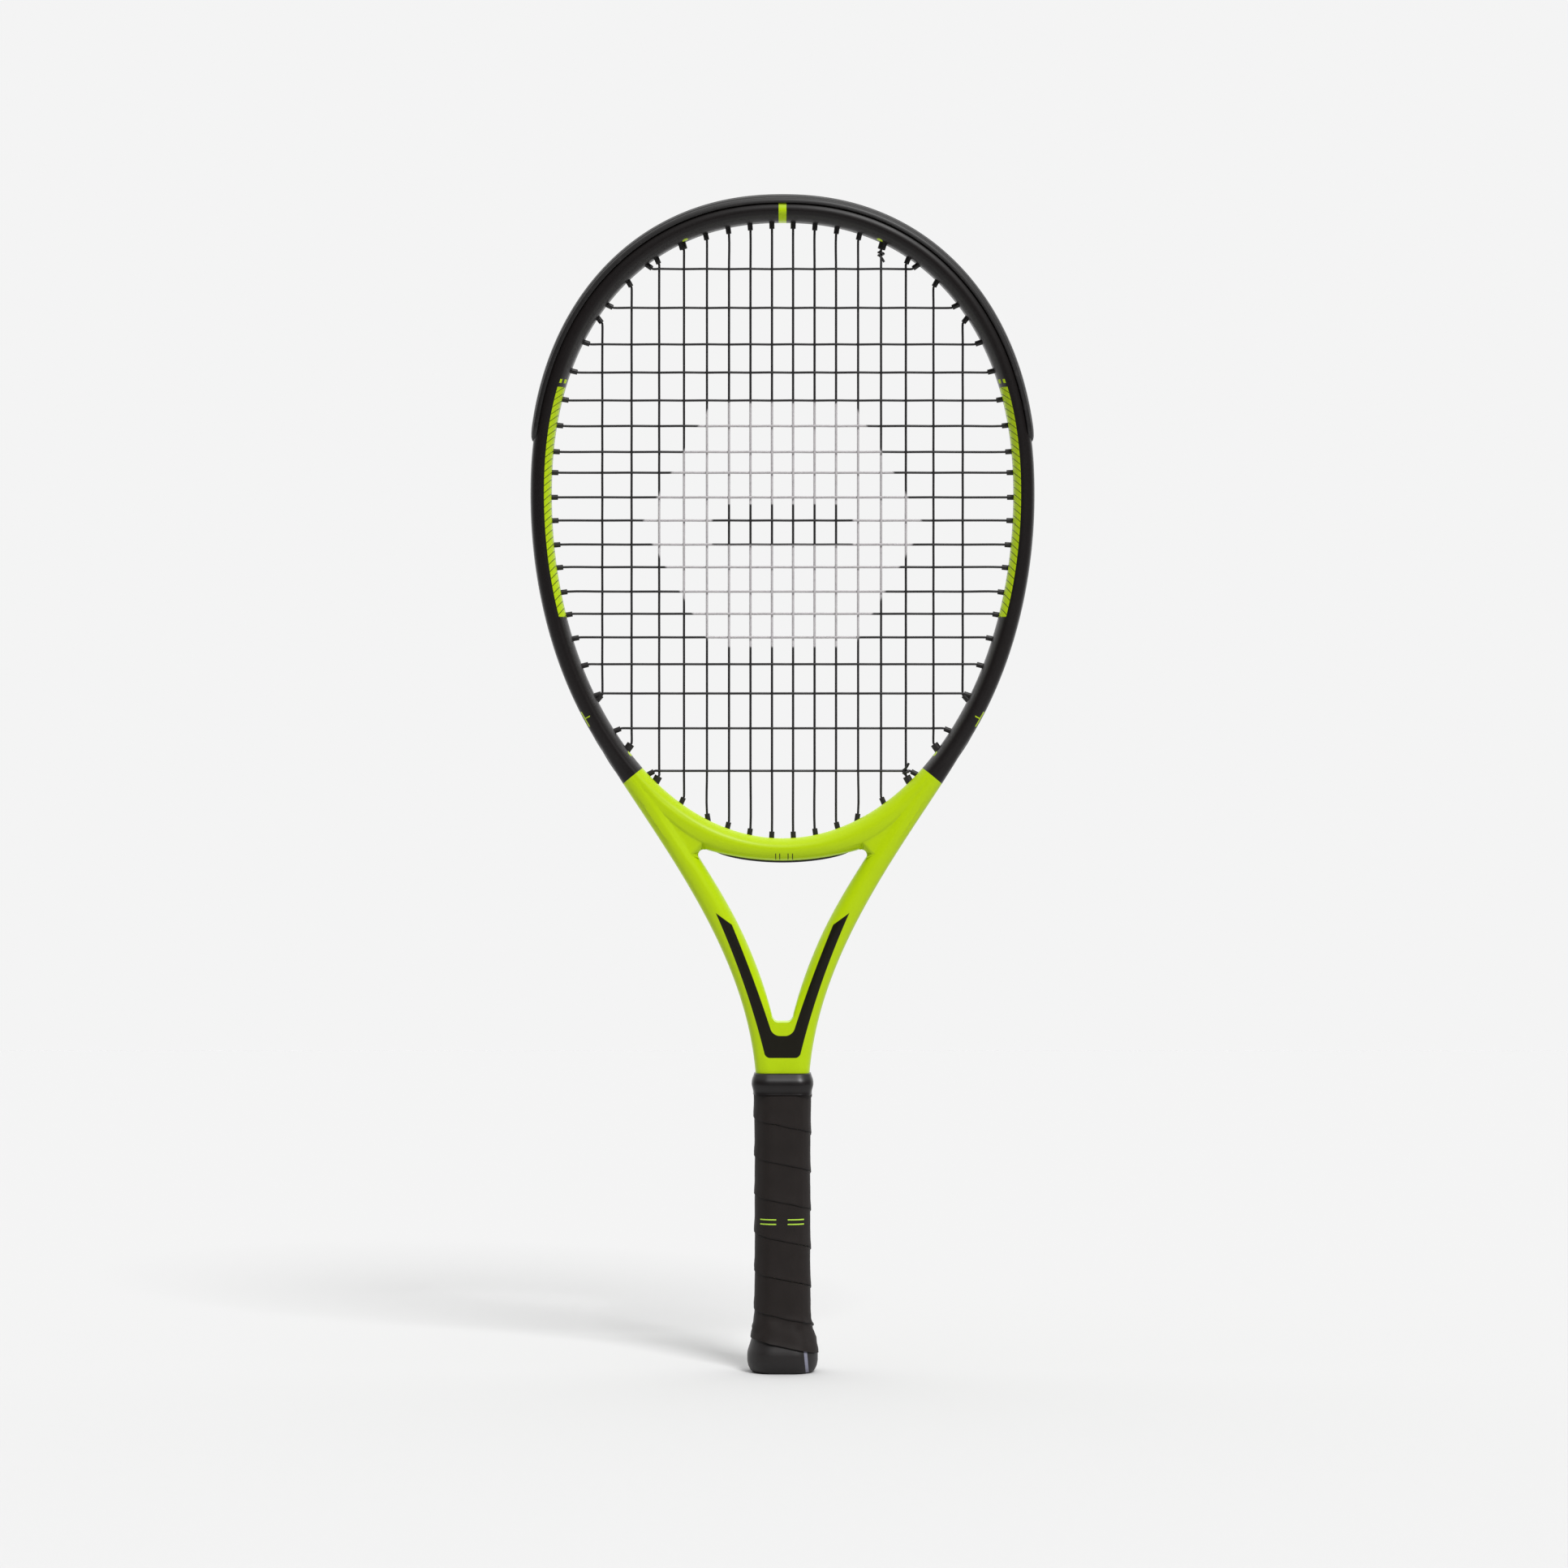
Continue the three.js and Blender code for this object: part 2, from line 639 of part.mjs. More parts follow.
function besideKnot(place, x) {
  const inwards = place.angle > 0 ? -1 : 1;
  const end = barrelEnd(place);
  return [
    new THREE.Vector3(x, -TIE_SPREAD, end.z + inwards * 3.4),
    new THREE.Vector3(x, 0, end.z + inwards * 8),
  ];
}

function isShared(place) {
  const isFirst = place.angle === topAngles[FIRST_TIED_MAIN];
  const isLast = place.angle === bottomAngles[LAST_TIED_MAIN];
  return place.side > 0 && (isFirst || isLast);
}

function spread(from, to, count, lane) {
  const via = [];
  for (let i = 1; i <= count; i += 1) {
    via.push({ angle: THREE.MathUtils.lerp(from.angle, to.angle, i / (count + 1)), lane });
  }
  return via;
}

// the string's height over the middle plane where cross k passes a main
function weaveHeight(k, side, i) {
  const column = side > 0 ? i + 1 : -i;
  return (k + column) % 2 === 0 ? WEAVE_HEIGHT : -WEAVE_HEIGHT;
}

function crossRun(k, side) {
  const isCrossed = (i) => CROSSES_Z[k] < barrelEnd(mainTop(1, i)).z - 1
    && CROSSES_Z[k] > barrelEnd(mainBottom(1, i)).z + 1;
  const crossed = [...MAINS_X.keys()].filter(isCrossed);
  const pointOn = (where, i) => new THREE.Vector3(
    where * MAINS_X[i], weaveHeight(k, where, i), CROSSES_Z[k],
  );
  return [
    barrelEnd(crossEnd(-side, k)),
    ...crossed.map((i) => pointOn(-side, i)).reverse(),
    ...crossed.map((i) => pointOn(side, i)),
    barrelEnd(crossEnd(side, k)),
  ];
}

function stringRoute() {
  const [right, left] = [1, -1];
  const last = MAINS_X.length - 1;
  const points = [];

  // tied off at right main 5, then along the channel to right main 8
  const tieTop = mainTop(right, FIRST_TIED_MAIN);
  const tieTopEnd = barrelEnd(tieTop, TIE_SPREAD);
  const outermost = mainTop(right, last);
  const over = spread(tieTop, outermost, 4, 0);
  points.push(...knotTurns(MAINS_X[FIRST_TIED_MAIN], tieTopEnd.z - 0.8, -1).reverse(), tieTopEnd);
  points.push(...channelRun(tieTop, outermost,
    { lane: 0.5, yFrom: TIE_SPREAD, raised: 1.45, via: over }));

  // mains in turn from right 8 to left 8, joined below, then above, then below
  const order = [...MAINS_X.keys()].map((i) => ({ side: right, i })).reverse();
  order.push(...[...MAINS_X.keys()].map((i) => ({ side: left, i })));
  order.forEach(({ side, i }, turn) => {
    const ends = [mainTop(side, i), mainBottom(side, i)];
    if (turn % 2 === 1) ends.reverse();
    points.push(...mainRun(ends[0], ends[1], side * MAINS_X[i]));
    const next = order[turn + 1];
    if (next) {
      const target = turn % 2 === 1 ? mainTop(next.side, next.i) : mainBottom(next.side, next.i);
      const yFrom = isShared(ends[1]) ? -TIE_SPREAD : 0;
      const yTo = isShared(target) ? -TIE_SPREAD : 0;
      points.push(...channelRun(ends[1], target, { lane: -LANE, yFrom, yTo }));
    }
  });

  // over to the top cross on the left, changing lanes between cross 2 and main 7
  const via = [
    { angle: crossAngles[1] + 0.015, lane: -LANE },
    { angle: topAngles[6] - 0.015, lane: LANE },
  ];
  points.push(...channelRun(mainTop(left, last), crossEnd(left, 0), { lane: -LANE, via }));

  // crosses from the top down, the odd ones left to right
  CROSSES_Z.forEach((_, k) => {
    const side = k % 2 === 0 ? right : left;
    points.push(...crossRun(k, side));
    if (k < CROSSES_Z.length - 1) {
      points.push(...channelRun(crossEnd(side, k), crossEnd(side, k + 1), { lane: LANE }));
    }
  });

  // tied off at right main 6 below
  const tieBottom = mainBottom(right, LAST_TIED_MAIN);
  const tieBottomEnd = barrelEnd(tieBottom, TIE_SPREAD);
  const lowest = crossEnd(right, CROSSES_Z.length - 1);
  points.push(...channelRun(lowest, tieBottom, { lane: LANE, yTo: TIE_SPREAD }));
  points.push(tieBottomEnd, ...knotTurns(MAINS_X[LAST_TIED_MAIN], tieBottomEnd.z + 0.8, 1));
  return points;
}

function makeString(points) {
  const section = [];
  for (let i = 0; i < ROUND_SIDES; i += 1) {
    const turn = (2 * i * Math.PI) / ROUND_SIDES;
    section.push([STRING_RADIUS * Math.cos(turn), STRING_RADIUS * Math.sin(turn)]);
  }
  const extrudePath = new Route(points);
  const steps = points.length - 1;
  return solidOf(new THREE.ExtrudeGeometry(shapeOf(section), { steps, extrudePath }));
}

// ---- handle ---------------------------------------------------------------------------

// eight bevels: the widest face the front and the back
const OCTAGON = [[1, -0.5], [1, 0.5], [0.58, 1], [-0.58, 1], [-1, 0.5], [-1, -0.5],
  [-0.58, -1], [0.58, -1]];
const SHAFT_OUTLINE = [[1, -0.56], [1, 0.56], [0.93, 0.81], [0.64, 1], [-0.64, 1], [-0.93, 0.81],
  [-1, 0.56], [-1, -0.56], [-0.93, -0.81], [-0.64, -1], [0.64, -1], [0.93, -0.81]];

// skirt of the butt cap, which the grip tape is wound over: [z, half width]
const SKIRT = [[13.5, 16.5], [17.3, 16], [21, 14.9], [25, 14.1], [28, 14]];
const CAP_FLANGE = [[0, 15.7], [1.2, 17], [2.8, 18], [6.5, 19.05], [12, 19.05], [13.4, 18.4]];
const DEPTH_LESS = 1.35;

function withDepth(levels) {
  return levels.map(([z, halfWidth]) => [z, halfWidth, halfWidth - DEPTH_LESS]);
}

function palletEnvelope(extra, foot, top) {
  const levels = [foot, top].map((z) => [z, PALLET_HALF_WIDTH + extra, PALLET_HALF_DEPTH + extra]);
  return stack(OCTAGON, levels);
}

function stapleSolid(side, x, extra) {
  const crown = { y: 13.35, thickness: 0.5, length: 7, height: 0.9 };
  const legLength = 4.2;
  const wide = crown.height + 2 * extra;
  const back = box(crown.length + 2 * extra, crown.thickness + 2 * extra, wide,
    x, side * crown.y, STAPLE_Z);
  return [-1, 1].reduce((body, end) => {
    const legX = x + end * (crown.length / 2 - 0.3);
    const legY = side * (crown.y - legLength / 2 + 0.2);
    const leg = box(0.6 + 2 * extra, legLength + 2 * extra, wide, legX, legY, STAPLE_Z);
    return body.add(leg);
  }, back);
}

const stapleSpots = [[-1, -STAPLE_X], [-1, STAPLE_X], [1, -STAPLE_X], [1, STAPLE_X]];

function withoutStaples(solid) {
  return stapleSpots.reduce((body, [side, x]) => body.subtract(stapleSolid(side, x, GAP)), solid);
}

function makePallet(side) {
  const envelope = palletEnvelope(0, PALLET_FOOT_Z, PALLET_TOP_Z);
  const hollow = [0, 400].map((z) => [z, TANG_HALF_WIDTH + GAP, TANG_HALF_DEPTH + GAP]);
  const tang = stack(SHAFT_OUTLINE, hollow);
  const otherHalf = box(60, 30, 400, 0, side * (GAP / 2 - 15), 150);
  return withoutStaples(envelope.subtract(tang).subtract(otherHalf));
}

function makeButtCap() {
  const outside = stack(OCTAGON, withDepth([...CAP_FLANGE, ...SKIRT]));
  const socket = palletEnvelope(GAP, PALLET_FOOT_Z - GAP, 60);
  const recess = solidOf(new THREE.CylinderGeometry(
    BADGE_RADIUS + GAP, BADGE_RADIUS + GAP, 2 * BADGE_DEPTH + 1, 32,
  ).rotateX(Math.PI / 2));
  return withoutStaples(outside.subtract(socket).subtract(recess));
}

function makeButtBadge() {
  const dome = [[0, 0.2], [BADGE_RADIUS - 0.5, 0.2], [BADGE_RADIUS, 0.7],
    [BADGE_RADIUS, BADGE_DEPTH], [0, BADGE_DEPTH]];
  const profile = dome.map(([radius, height]) => new THREE.Vector2(radius, height));
  return solidOf(new THREE.LatheGeometry(profile, 32).rotateX(Math.PI / 2));
}

function makeGripTape() {
  const outside = stack(OCTAGON, withDepth([[GRIP_FOOT_Z, 18.4], [17.3, 17.95], [21, 16.85],
    [25, 15.8], [30, 15.2], [60, 15.1], [120, 15.2], [138, 15.5], [GRIP_TOP_Z, 15.7]]));
  const overSkirt = SKIRT.map(([z, half]) => [z, half + GAP + 0.1]);
  const inside = stack(OCTAGON, [
    ...withDepth([[10, 17.3], ...overSkirt]),
    [28.4, PALLET_HALF_WIDTH + GAP, PALLET_HALF_DEPTH + GAP],
    [138, PALLET_HALF_WIDTH + GAP, PALLET_HALF_DEPTH + GAP],
    [144, 14.6, 13.2],
    [160, 14.6, 13.2],
  ]);
  return outside.subtract(inside);
}

function makeFinishingTape() {
  const levels = (extra, foot, top) => [foot, top].map(
    (z) => [z, SHAFT_HALF_WIDTH + extra, BEAM_HALF_DEPTH + extra],
  );
  const outside = stack(SHAFT_OUTLINE, levels(0.95, 150.3, 156.5));
  return outside.subtract(stack(SHAFT_OUTLINE, levels(0.6, 140, 170)));
}

function makeCollar() {
  const outside = stack(SHAFT_OUTLINE, [[COLLAR_FOOT_Z, 16.0, 14.5], [152, 16.45, 14.6],
    [155, 16.65, 14.3], [158, 16.2, 13.2], [160, 15.7, 12.2], [161.6, 15.3, 11.5]]);
  const bore = stack(SHAFT_OUTLINE, [[140, 15.3, 11.7], [156.9, 15.3, 11.7],
    [157.2, 14.9, 10.9], [170, 14.9, 10.9]]);
  return outside.subtract(bore);
}

// ---- the racket -----------------------------------------------------------------------

addPiece("frame", makeFrame(), 0xb8d400, 0.25);
addPiece("throat_bridge", makeThroatBridge(), 0xb8d400, 0.25);
addPiece("bumper_guard", makeBumperGuard(), 0x1c1a1a, 0.5);
addPiece("grommet_strip_right", makeSideStrip(1), 0x1a1a1a, 0.55);
addPiece("grommet_strip_left", makeSideStrip(-1), 0x1a1a1a, 0.55);
addPiece("grommet_strip_bridge", makeBridgeStrip(), 0x1a1a1a, 0.55);
for (const [side, word] of [[1, "right"], [-1, "left"]]) {
  for (const i of [4, 5]) {
    addPiece(`grommet_${word}_main_${i + 1}`, makeCornerGrommet(mainBottom(side, i)), 0x1a1a1a, 0.55);
  }
}
addPiece("string", makeString(stringRoute()), 0x1d1d1f, 0.4);
addPiece("handle_pallet_front", makePallet(-1), 0xd8cfb8, 0.8);
addPiece("handle_pallet_back", makePallet(1), 0xd8cfb8, 0.8);
addPiece("butt_cap", makeButtCap(), 0x232124, 0.45);
addPiece("butt_badge", makeButtBadge(), 0x3a3a40, 0.3);
stapleSpots.forEach(([side, x], i) => {
  addPiece(`staple_${i + 1}`, stapleSolid(side, x, 0), 0xb5b8bd, 0.35, 1);
});
addPiece("grip_tape", makeGripTape(), 0x262324, 0.7);
addPiece("finishing_tape", makeFinishingTape(), 0x18181a, 0.5);
addPiece("rubber_collar", makeCollar(), 0x1e1c1d, 0.6);

export default group;
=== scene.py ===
import json
import math

import bmesh
import bpy
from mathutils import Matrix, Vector, noise

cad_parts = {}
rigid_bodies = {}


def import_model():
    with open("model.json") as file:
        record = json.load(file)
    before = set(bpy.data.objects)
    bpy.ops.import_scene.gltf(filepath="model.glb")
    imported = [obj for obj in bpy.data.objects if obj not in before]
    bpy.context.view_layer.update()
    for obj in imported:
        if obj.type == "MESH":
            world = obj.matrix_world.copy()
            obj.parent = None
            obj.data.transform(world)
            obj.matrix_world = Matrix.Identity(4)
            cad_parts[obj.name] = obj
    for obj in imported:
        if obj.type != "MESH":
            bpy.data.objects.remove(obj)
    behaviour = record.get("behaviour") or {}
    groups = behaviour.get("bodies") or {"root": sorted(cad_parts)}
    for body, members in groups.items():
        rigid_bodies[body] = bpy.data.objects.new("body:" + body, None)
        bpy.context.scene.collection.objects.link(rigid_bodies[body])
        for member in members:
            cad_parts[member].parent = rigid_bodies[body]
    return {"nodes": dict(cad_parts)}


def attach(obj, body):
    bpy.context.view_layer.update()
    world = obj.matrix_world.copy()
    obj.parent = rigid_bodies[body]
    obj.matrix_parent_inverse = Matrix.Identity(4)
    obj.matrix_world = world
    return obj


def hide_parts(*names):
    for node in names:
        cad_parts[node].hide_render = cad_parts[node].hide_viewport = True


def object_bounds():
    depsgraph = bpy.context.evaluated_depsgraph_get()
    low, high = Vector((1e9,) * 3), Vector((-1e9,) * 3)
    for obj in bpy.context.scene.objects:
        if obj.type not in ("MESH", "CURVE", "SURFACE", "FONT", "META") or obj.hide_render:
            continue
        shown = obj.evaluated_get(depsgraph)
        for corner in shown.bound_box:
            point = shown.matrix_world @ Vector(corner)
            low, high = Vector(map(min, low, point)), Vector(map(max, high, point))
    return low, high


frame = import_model()
cad_low, cad_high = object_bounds()
scene = bpy.context.scene
scene.view_settings.view_transform = "Standard"

# ---- camera -----------------------------------------------------------------------------
# Square on to the front, level with the middle of the racket, far enough away that the hoop
# hardly narrows. The view takes in a third more than the racket's height.
VIEW_DISTANCE = 2.5
VIEW_WIDTH = 0.8467
ASIDE = 0.0008
LOWERED = 0.0005
SENSOR = 36.0

bpy.ops.object.select_all(action="DESELECT")
middle = (cad_low + cad_high) / 2
bpy.ops.object.camera_add(
    location=(middle.x + ASIDE, -VIEW_DISTANCE, middle.z - LOWERED),
    rotation=(math.pi / 2, 0, 0),
)
camera = bpy.context.object
camera.name = "front_camera"
camera.data.sensor_width = SENSOR
camera.data.lens = SENSOR * VIEW_DISTANCE / VIEW_WIDTH
scene.camera = camera

# ---- studio: pale floor and soft light ----------------------------------------------------
# A pale matt floor in front of a pale wall. The room glows behind the racket and overhead, and
# one soft light high on the right of the camera lays the racket's shadow to the left and back.
PALE = 0.905
FLOOR_TONE = 0.564
FLOOR_HALF = 3.0
ROOM_GLOW = 0.04
BACK_GLOW = 1.3
OVERHEAD_GLOW = 0.9
KEY_DIRECTION = (-0.37, 0.85, -1.0)
KEY_ENERGY = 2.6
KEY_SPREAD = math.radians(16)


class Shade:
    """A shader socket in a Python expression: each operator adds the node that works it out."""

    def __init__(self, tree, socket=None):
        self.tree = tree
        self.socket = socket

    def node(self, kind, settings=None, inputs=None, out=0):
        """Adds a node. Its settings come first, then the values or links of its sockets."""
        added = self.tree.nodes.new(kind)
        for name, value in (settings or {}).items():
            setattr(added, name, value)
        for name, value in (inputs or {}).items():
            if isinstance(value, Shade):
                self.tree.links.new(value.socket, added.inputs[name])
            else:
                added.inputs[name].default_value = value
        return Shade(self.tree, added.outputs[out])

    def maths(self, operation, *terms):
        return self.node("ShaderNodeMath", {"operation": operation}, dict(enumerate(terms)))

    def __add__(self, other):
        return self.maths("ADD", self, other)

    def __radd__(self, other):
        return self.maths("ADD", other, self)

    def __sub__(self, other):
        return self.maths("SUBTRACT", self, other)

    def __rsub__(self, other):
        return self.maths("SUBTRACT", other, self)

    def __mul__(self, other):
        return self.maths("MULTIPLY", self, other)

    def __rmul__(self, other):
        return self.maths("MULTIPLY", other, self)

    def __truediv__(self, other):
        return self.maths("DIVIDE", self, other)

    def __mod__(self, other):
        return self.maths("FLOORED_MODULO", self, other)

    def __pow__(self, power):
        return self.maths("POWER", self, power)

    def __abs__(self):
        return self.maths("ABSOLUTE", self)

    def least(self, other):
        return self.maths("MINIMUM", self, other)

    def most(self, other):
        return self.maths("MAXIMUM", self, other)

    def above(self, edge, soft=0.12):
        """1 where this value is over the edge and 0 below it, with a soft step between."""
        limits = {"Value": self, "From Min": edge - soft, "From Max": edge + soft}
        return self.node("ShaderNodeMapRange", {"interpolation_type": "SMOOTHSTEP"}, limits)

    def within(self, low, high, soft=0.12):
        """1 between two limits and 0 outside them."""
        return self.above(low, soft) * (1 - self.above(high, soft))

    def mix(self, first, second):
        """The first colour where this is 0, the second where it is 1."""
        sides = {0: self, 6: first, 7: second}
        return self.node("ShaderNodeMix", {"data_type": "RGBA"}, sides, out=2)


def new_material(name):
    material = bpy.data.materials.new(name)
    material.use_nodes = True
    return material, Shade(material.node_tree)


def finish(material, sockets):
    """Sets the surface shader's own sockets, each by a value or by a link."""
    surface = material.node_tree.nodes["Principled BSDF"]
    for name, value in sockets.items():
        if isinstance(value, Shade):
            material.node_tree.links.new(value.socket, surface.inputs[name])
        else:
            surface.inputs[name].default_value = value


def grain(shade, scale, detail=3.0, roughness=0.55):
    """Fine mottling of 0 to 1 over a surface, with scale in waves to the metre."""
    here = shade.node("ShaderNodeTexCoord", out="Object")
    settings = {"Vector": here, "Scale": scale, "Detail": detail, "Roughness": roughness}
    return shade.node("ShaderNodeTexNoise", None, settings)


bpy.ops.object.select_all(action="DESELECT")
bpy.ops.mesh.primitive_grid_add(
    x_subdivisions=4, y_subdivisions=4, size=2 * FLOOR_HALF, location=(0, 0, 0)
)
floor = bpy.context.object
floor.name = "floor"
bpy.ops.object.transform_apply(location=True, rotation=True, scale=True)
floor_paint, shade = new_material("pale_floor")
speckle = grain(shade, 90)
finish(floor_paint, {
    "Base Color": (FLOOR_TONE, FLOOR_TONE, FLOOR_TONE, 1),
    "Roughness": 0.95 + 0.04 * speckle,
    "Specular IOR Level": 0.0,
})
floor.data.materials.append(floor_paint)

sky = bpy.data.worlds.new("studio")
sky.use_nodes = True
scene.world = sky
shade = Shade(sky.node_tree)
direction = shade.node("ShaderNodeTexCoord", out="Generated")
parts = shade.node("ShaderNodeSeparateXYZ", None, {0: direction})
backwards = Shade(shade.tree, parts.socket.node.outputs[1])
upwards = Shade(shade.tree, parts.socket.node.outputs[2])
behind = BACK_GLOW * backwards.above(0.15, 0.75)
glow = ROOM_GLOW + behind + OVERHEAD_GLOW * upwards.above(0.72, 0.2)
seen = shade.node("ShaderNodeLightPath", out="Is Camera Ray")
strength = seen * PALE + (1 - seen) * glow
sky.node_tree.links.new(strength.socket, sky.node_tree.nodes["Background"].inputs["Strength"])
sky.node_tree.nodes["Background"].inputs["Color"].default_value = (1, 1, 1, 1)

bpy.ops.object.select_all(action="DESELECT")
bpy.ops.object.light_add(type="SUN", location=(1, -2, 2))
key = bpy.context.object
key.name = "key_light"
key.data.energy = KEY_ENERGY
key.data.angle = KEY_SPREAD
key.rotation_euler = Vector(KEY_DIRECTION).to_track_quat("-Z", "Y").to_euler()

# ---- racket frame -------------------------------------------------------------------------
# One moulded graphite tube, bent like a hairpin into the hoop, two throat arms and the shaft,
# with the bridge moulded in under the hoop. A string channel runs round its outside. It is
# lacquered black round the hoop and lime from the yoke down, with a black V on the throat.
MM = 0.001
QUARTER = math.pi / 2
HOOP_CENTRE = 473.0
HOOP_HALF_WIDTH = 124.7
HOOP_TOP_POWER = 2.2
HOOP_TOP_HEIGHT = 147.3
HOOP_BOTTOM_POWER = 2.0
HOOP_BOTTOM_HEIGHT = 185.3
RIM_WIDTH = 11.3
BEAM_HALF_DEPTH = 10.5
CHANNEL_HALF_WIDTH = 3.15
CHANNEL_DEPTH = 3.2
CHANNEL_END = 282.0
CHANNEL_RUN_OUT = 25.0
BRIDGE_UNDERSIDE = 275.6
BRIDGE_RISE = 3.8 / 33 ** 2
BRIDGE_STEADY = math.radians(-78.5)
BRIDGE_END = math.radians(-62)
ARM_START = math.radians(-52)
ARM_LEAD = math.radians(9)
ARM_SIZE_IN_RIM = 0.95
ARM_WIDTH = 12.6
ARM_BEND = Vector((72.2, 290.3))
SHAFT_HALF_WIDTH = 14.0
SHAFT_GAP = 0.15
SHAFT_BEND = Vector((SHAFT_HALF_WIDTH, 227.1))
SHAFT_START = Vector((SHAFT_HALF_WIDTH, 147.4))
FRAME_FOOT = 140.0
THROAT_FOOT = 188.7


def lerp(first, second, t):
    return first + (second - first) * t


def smooth(value, low, high):
    t = min(max((value - low) / (high - low), 0), 1)
    return t * t * (3 - 2 * t)


def hoop_edge(angle):
    """A place (x, z) on the hoop's inner edge."""
    power, height = HOOP_TOP_POWER, HOOP_TOP_HEIGHT
    if math.sin(angle) < 0:
        power, height = HOOP_BOTTOM_POWER, HOOP_BOTTOM_HEIGHT
    across = (abs(math.cos(angle)) / HOOP_HALF_WIDTH) ** power
    up = (abs(math.sin(angle)) / height) ** power
    reach = (across + up) ** (-1 / power)
    return Vector((reach * math.cos(angle), HOOP_CENTRE + reach * math.sin(angle)))


def hoop_normal(angle):
    along = (hoop_edge(angle + 1e-3) - hoop_edge(angle - 1e-3)).normalized()
    return Vector((along.y, -along.x))


def rim_point(angle, outwards):
    return hoop_edge(angle) + hoop_normal(angle) * outwards


def bridge_width(angle):
    """The rim's width, which grows where the bridge's underside bounds it."""
    mirrored = math.atan2(math.sin(angle), abs(math.cos(angle)))
    steady = min(mirrored, BRIDGE_STEADY)
    edge = hoop_edge(steady)
    normal = hoop_normal(steady)
    width = RIM_WIDTH
    for _ in range(8):
        x = edge.x + normal.x * width
        underside = BRIDGE_UNDERSIDE + BRIDGE_RISE * x * x
        width = (edge.y - underside) / -normal.y
    return lerp(width, RIM_WIDTH, smooth(mirrored, BRIDGE_STEADY, BRIDGE_END))


def arm_curve(t):
    """The arm's outer edge and its direction."""
    points = [rim_point(ARM_START, RIM_WIDTH), ARM_BEND, SHAFT_BEND, SHAFT_START]
    s = 1 - t
    place = (points[0] * s ** 3 + points[1] * 3 * s * s * t
             + points[2] * 3 * s * t * t + points[3] * t ** 3)
    along = ((points[1] - points[0]) * s * s + (points[2] - points[1]) * 2 * s * t
             + (points[3] - points[2]) * t * t)
    return place, along.normalized()


def arm_station(t):
    """The arm's inner edge, the normal that points out of it, and its width."""
    outer, along = arm_curve(t)
    normal = Vector((-along.y, along.x))
    width = lerp(RIM_WIDTH, ARM_WIDTH, smooth(t, 0, 0.3))
    width = lerp(width, SHAFT_HALF_WIDTH - SHAFT_GAP, smooth(t, 0.35, 0.65))
    return outer - normal * width, normal, width


def rounded(corners, steps=4):
    """A closed outline of (x, y, cut): each corner becomes a curve that starts a cut before it."""
    outline = []
    for i, (across, deep, cut) in enumerate(corners):
        here = Vector((across, deep))
        before = Vector(corners[i - 1][:2]) - here
        after = Vector(corners[(i + 1) % len(corners)][:2]) - here
        start = here + before.normalized() * min(cut, before.length * 0.48)
        end = here + after.normalized() * min(cut, after.length * 0.48)
        for k in range(steps + 1):
            t = k / steps
            outline.append(start.lerp(here, t).lerp(here.lerp(end, t), t))
    return outline


def both_faces(front):
    """A section given for one face, completed with its mirror image for the other."""
    return front + [(across, -deep, cut) for across, deep, cut in reversed(front)]


def tube_section(width, flat=0.0, channel=1.0):
    """Section of the tube: a chamfer inside, a crown, and the channel in the outer edge.
    Flat is 1 where two shafts lie side by side and the chamfer is filled out."""
    sunk = CHANNEL_DEPTH * max(channel, 0.04)
    front = [(0, lerp(5.25, 10.15, flat), 2.2), (3.4, lerp(10.2, 10.4, flat), 3.2),
             (width * 0.6, BEAM_HALF_DEPTH, 2.6), (width - 0.8, 8.2, 2.6),
             (width, CHANNEL_HALF_WIDTH, 0.5), (width - sunk, CHANNEL_HALF_WIDTH - 0.05, 0.3)]
    return rounded(both_faces(front))


def select_only(piece):
    bpy.ops.object.select_all(action="DESELECT")
    piece.select_set(True)
    bpy.context.view_layer.objects.active = piece


def close_up(piece, caps=True):
    """Merges the seam, fills open ends and turns every face outwards."""
    select_only(piece)
    bpy.ops.object.mode_set(mode="EDIT")
    bpy.ops.mesh.select_all(action="SELECT")
    bpy.ops.mesh.remove_doubles(threshold=2e-6)
    if caps:
        bpy.ops.mesh.fill_holes(sides=0)
        bpy.ops.mesh.select_all(action="SELECT")
    bpy.ops.mesh.normals_make_consistent(inside=False)
    bpy.ops.object.mode_set(mode="OBJECT")


def rolled(name, along, around, place, lay=None, caps=True):
    """A flat grid rolled up into a tube: place(u, v) is the point of each crossing in
    millimetres, and lay(u, v) is where it lies on the flat pattern, in metres."""
    bpy.ops.object.select_all(action="DESELECT")
    bpy.ops.mesh.primitive_grid_add(x_subdivisions=along, y_subdivisions=around, size=1)
    piece = bpy.context.object
    piece.name = name
    flat = [(vertex.co.x + 0.5, vertex.co.y + 0.5) for vertex in piece.data.vertices]
    for vertex, (u, v) in zip(piece.data.vertices, flat):
        vertex.co = Vector(place(u, v)) * MM
    if lay:
        pattern = piece.data.uv_layers.active.data
        for loop in piece.data.loops:
            pattern[loop.index].uv = lay(*flat[loop.vertex_index])
    close_up(piece, caps)
    return piece


def sweep(name, stations, section_at):
    """A section carried along stations of (inner edge, normal, width, size)."""
    steps = len(stations) - 1
    sections = [section_at(i) for i in range(len(stations))]
    corners = len(sections[0])

    def place(u, v):
        i = round(u * steps)
        inner, normal, width, size = stations[i]
        across, deep = sections[i][round(v * corners) % corners]
        across = lerp(width / 2, across, size)
        point = inner + normal * across
        return point.x, deep * size, point.y

    def lay(u, v):
        i = round(u * steps)
        return u, sections[i][round(v * corners) % corners][0] * MM

    return rolled(name, steps, corners, place, lay)


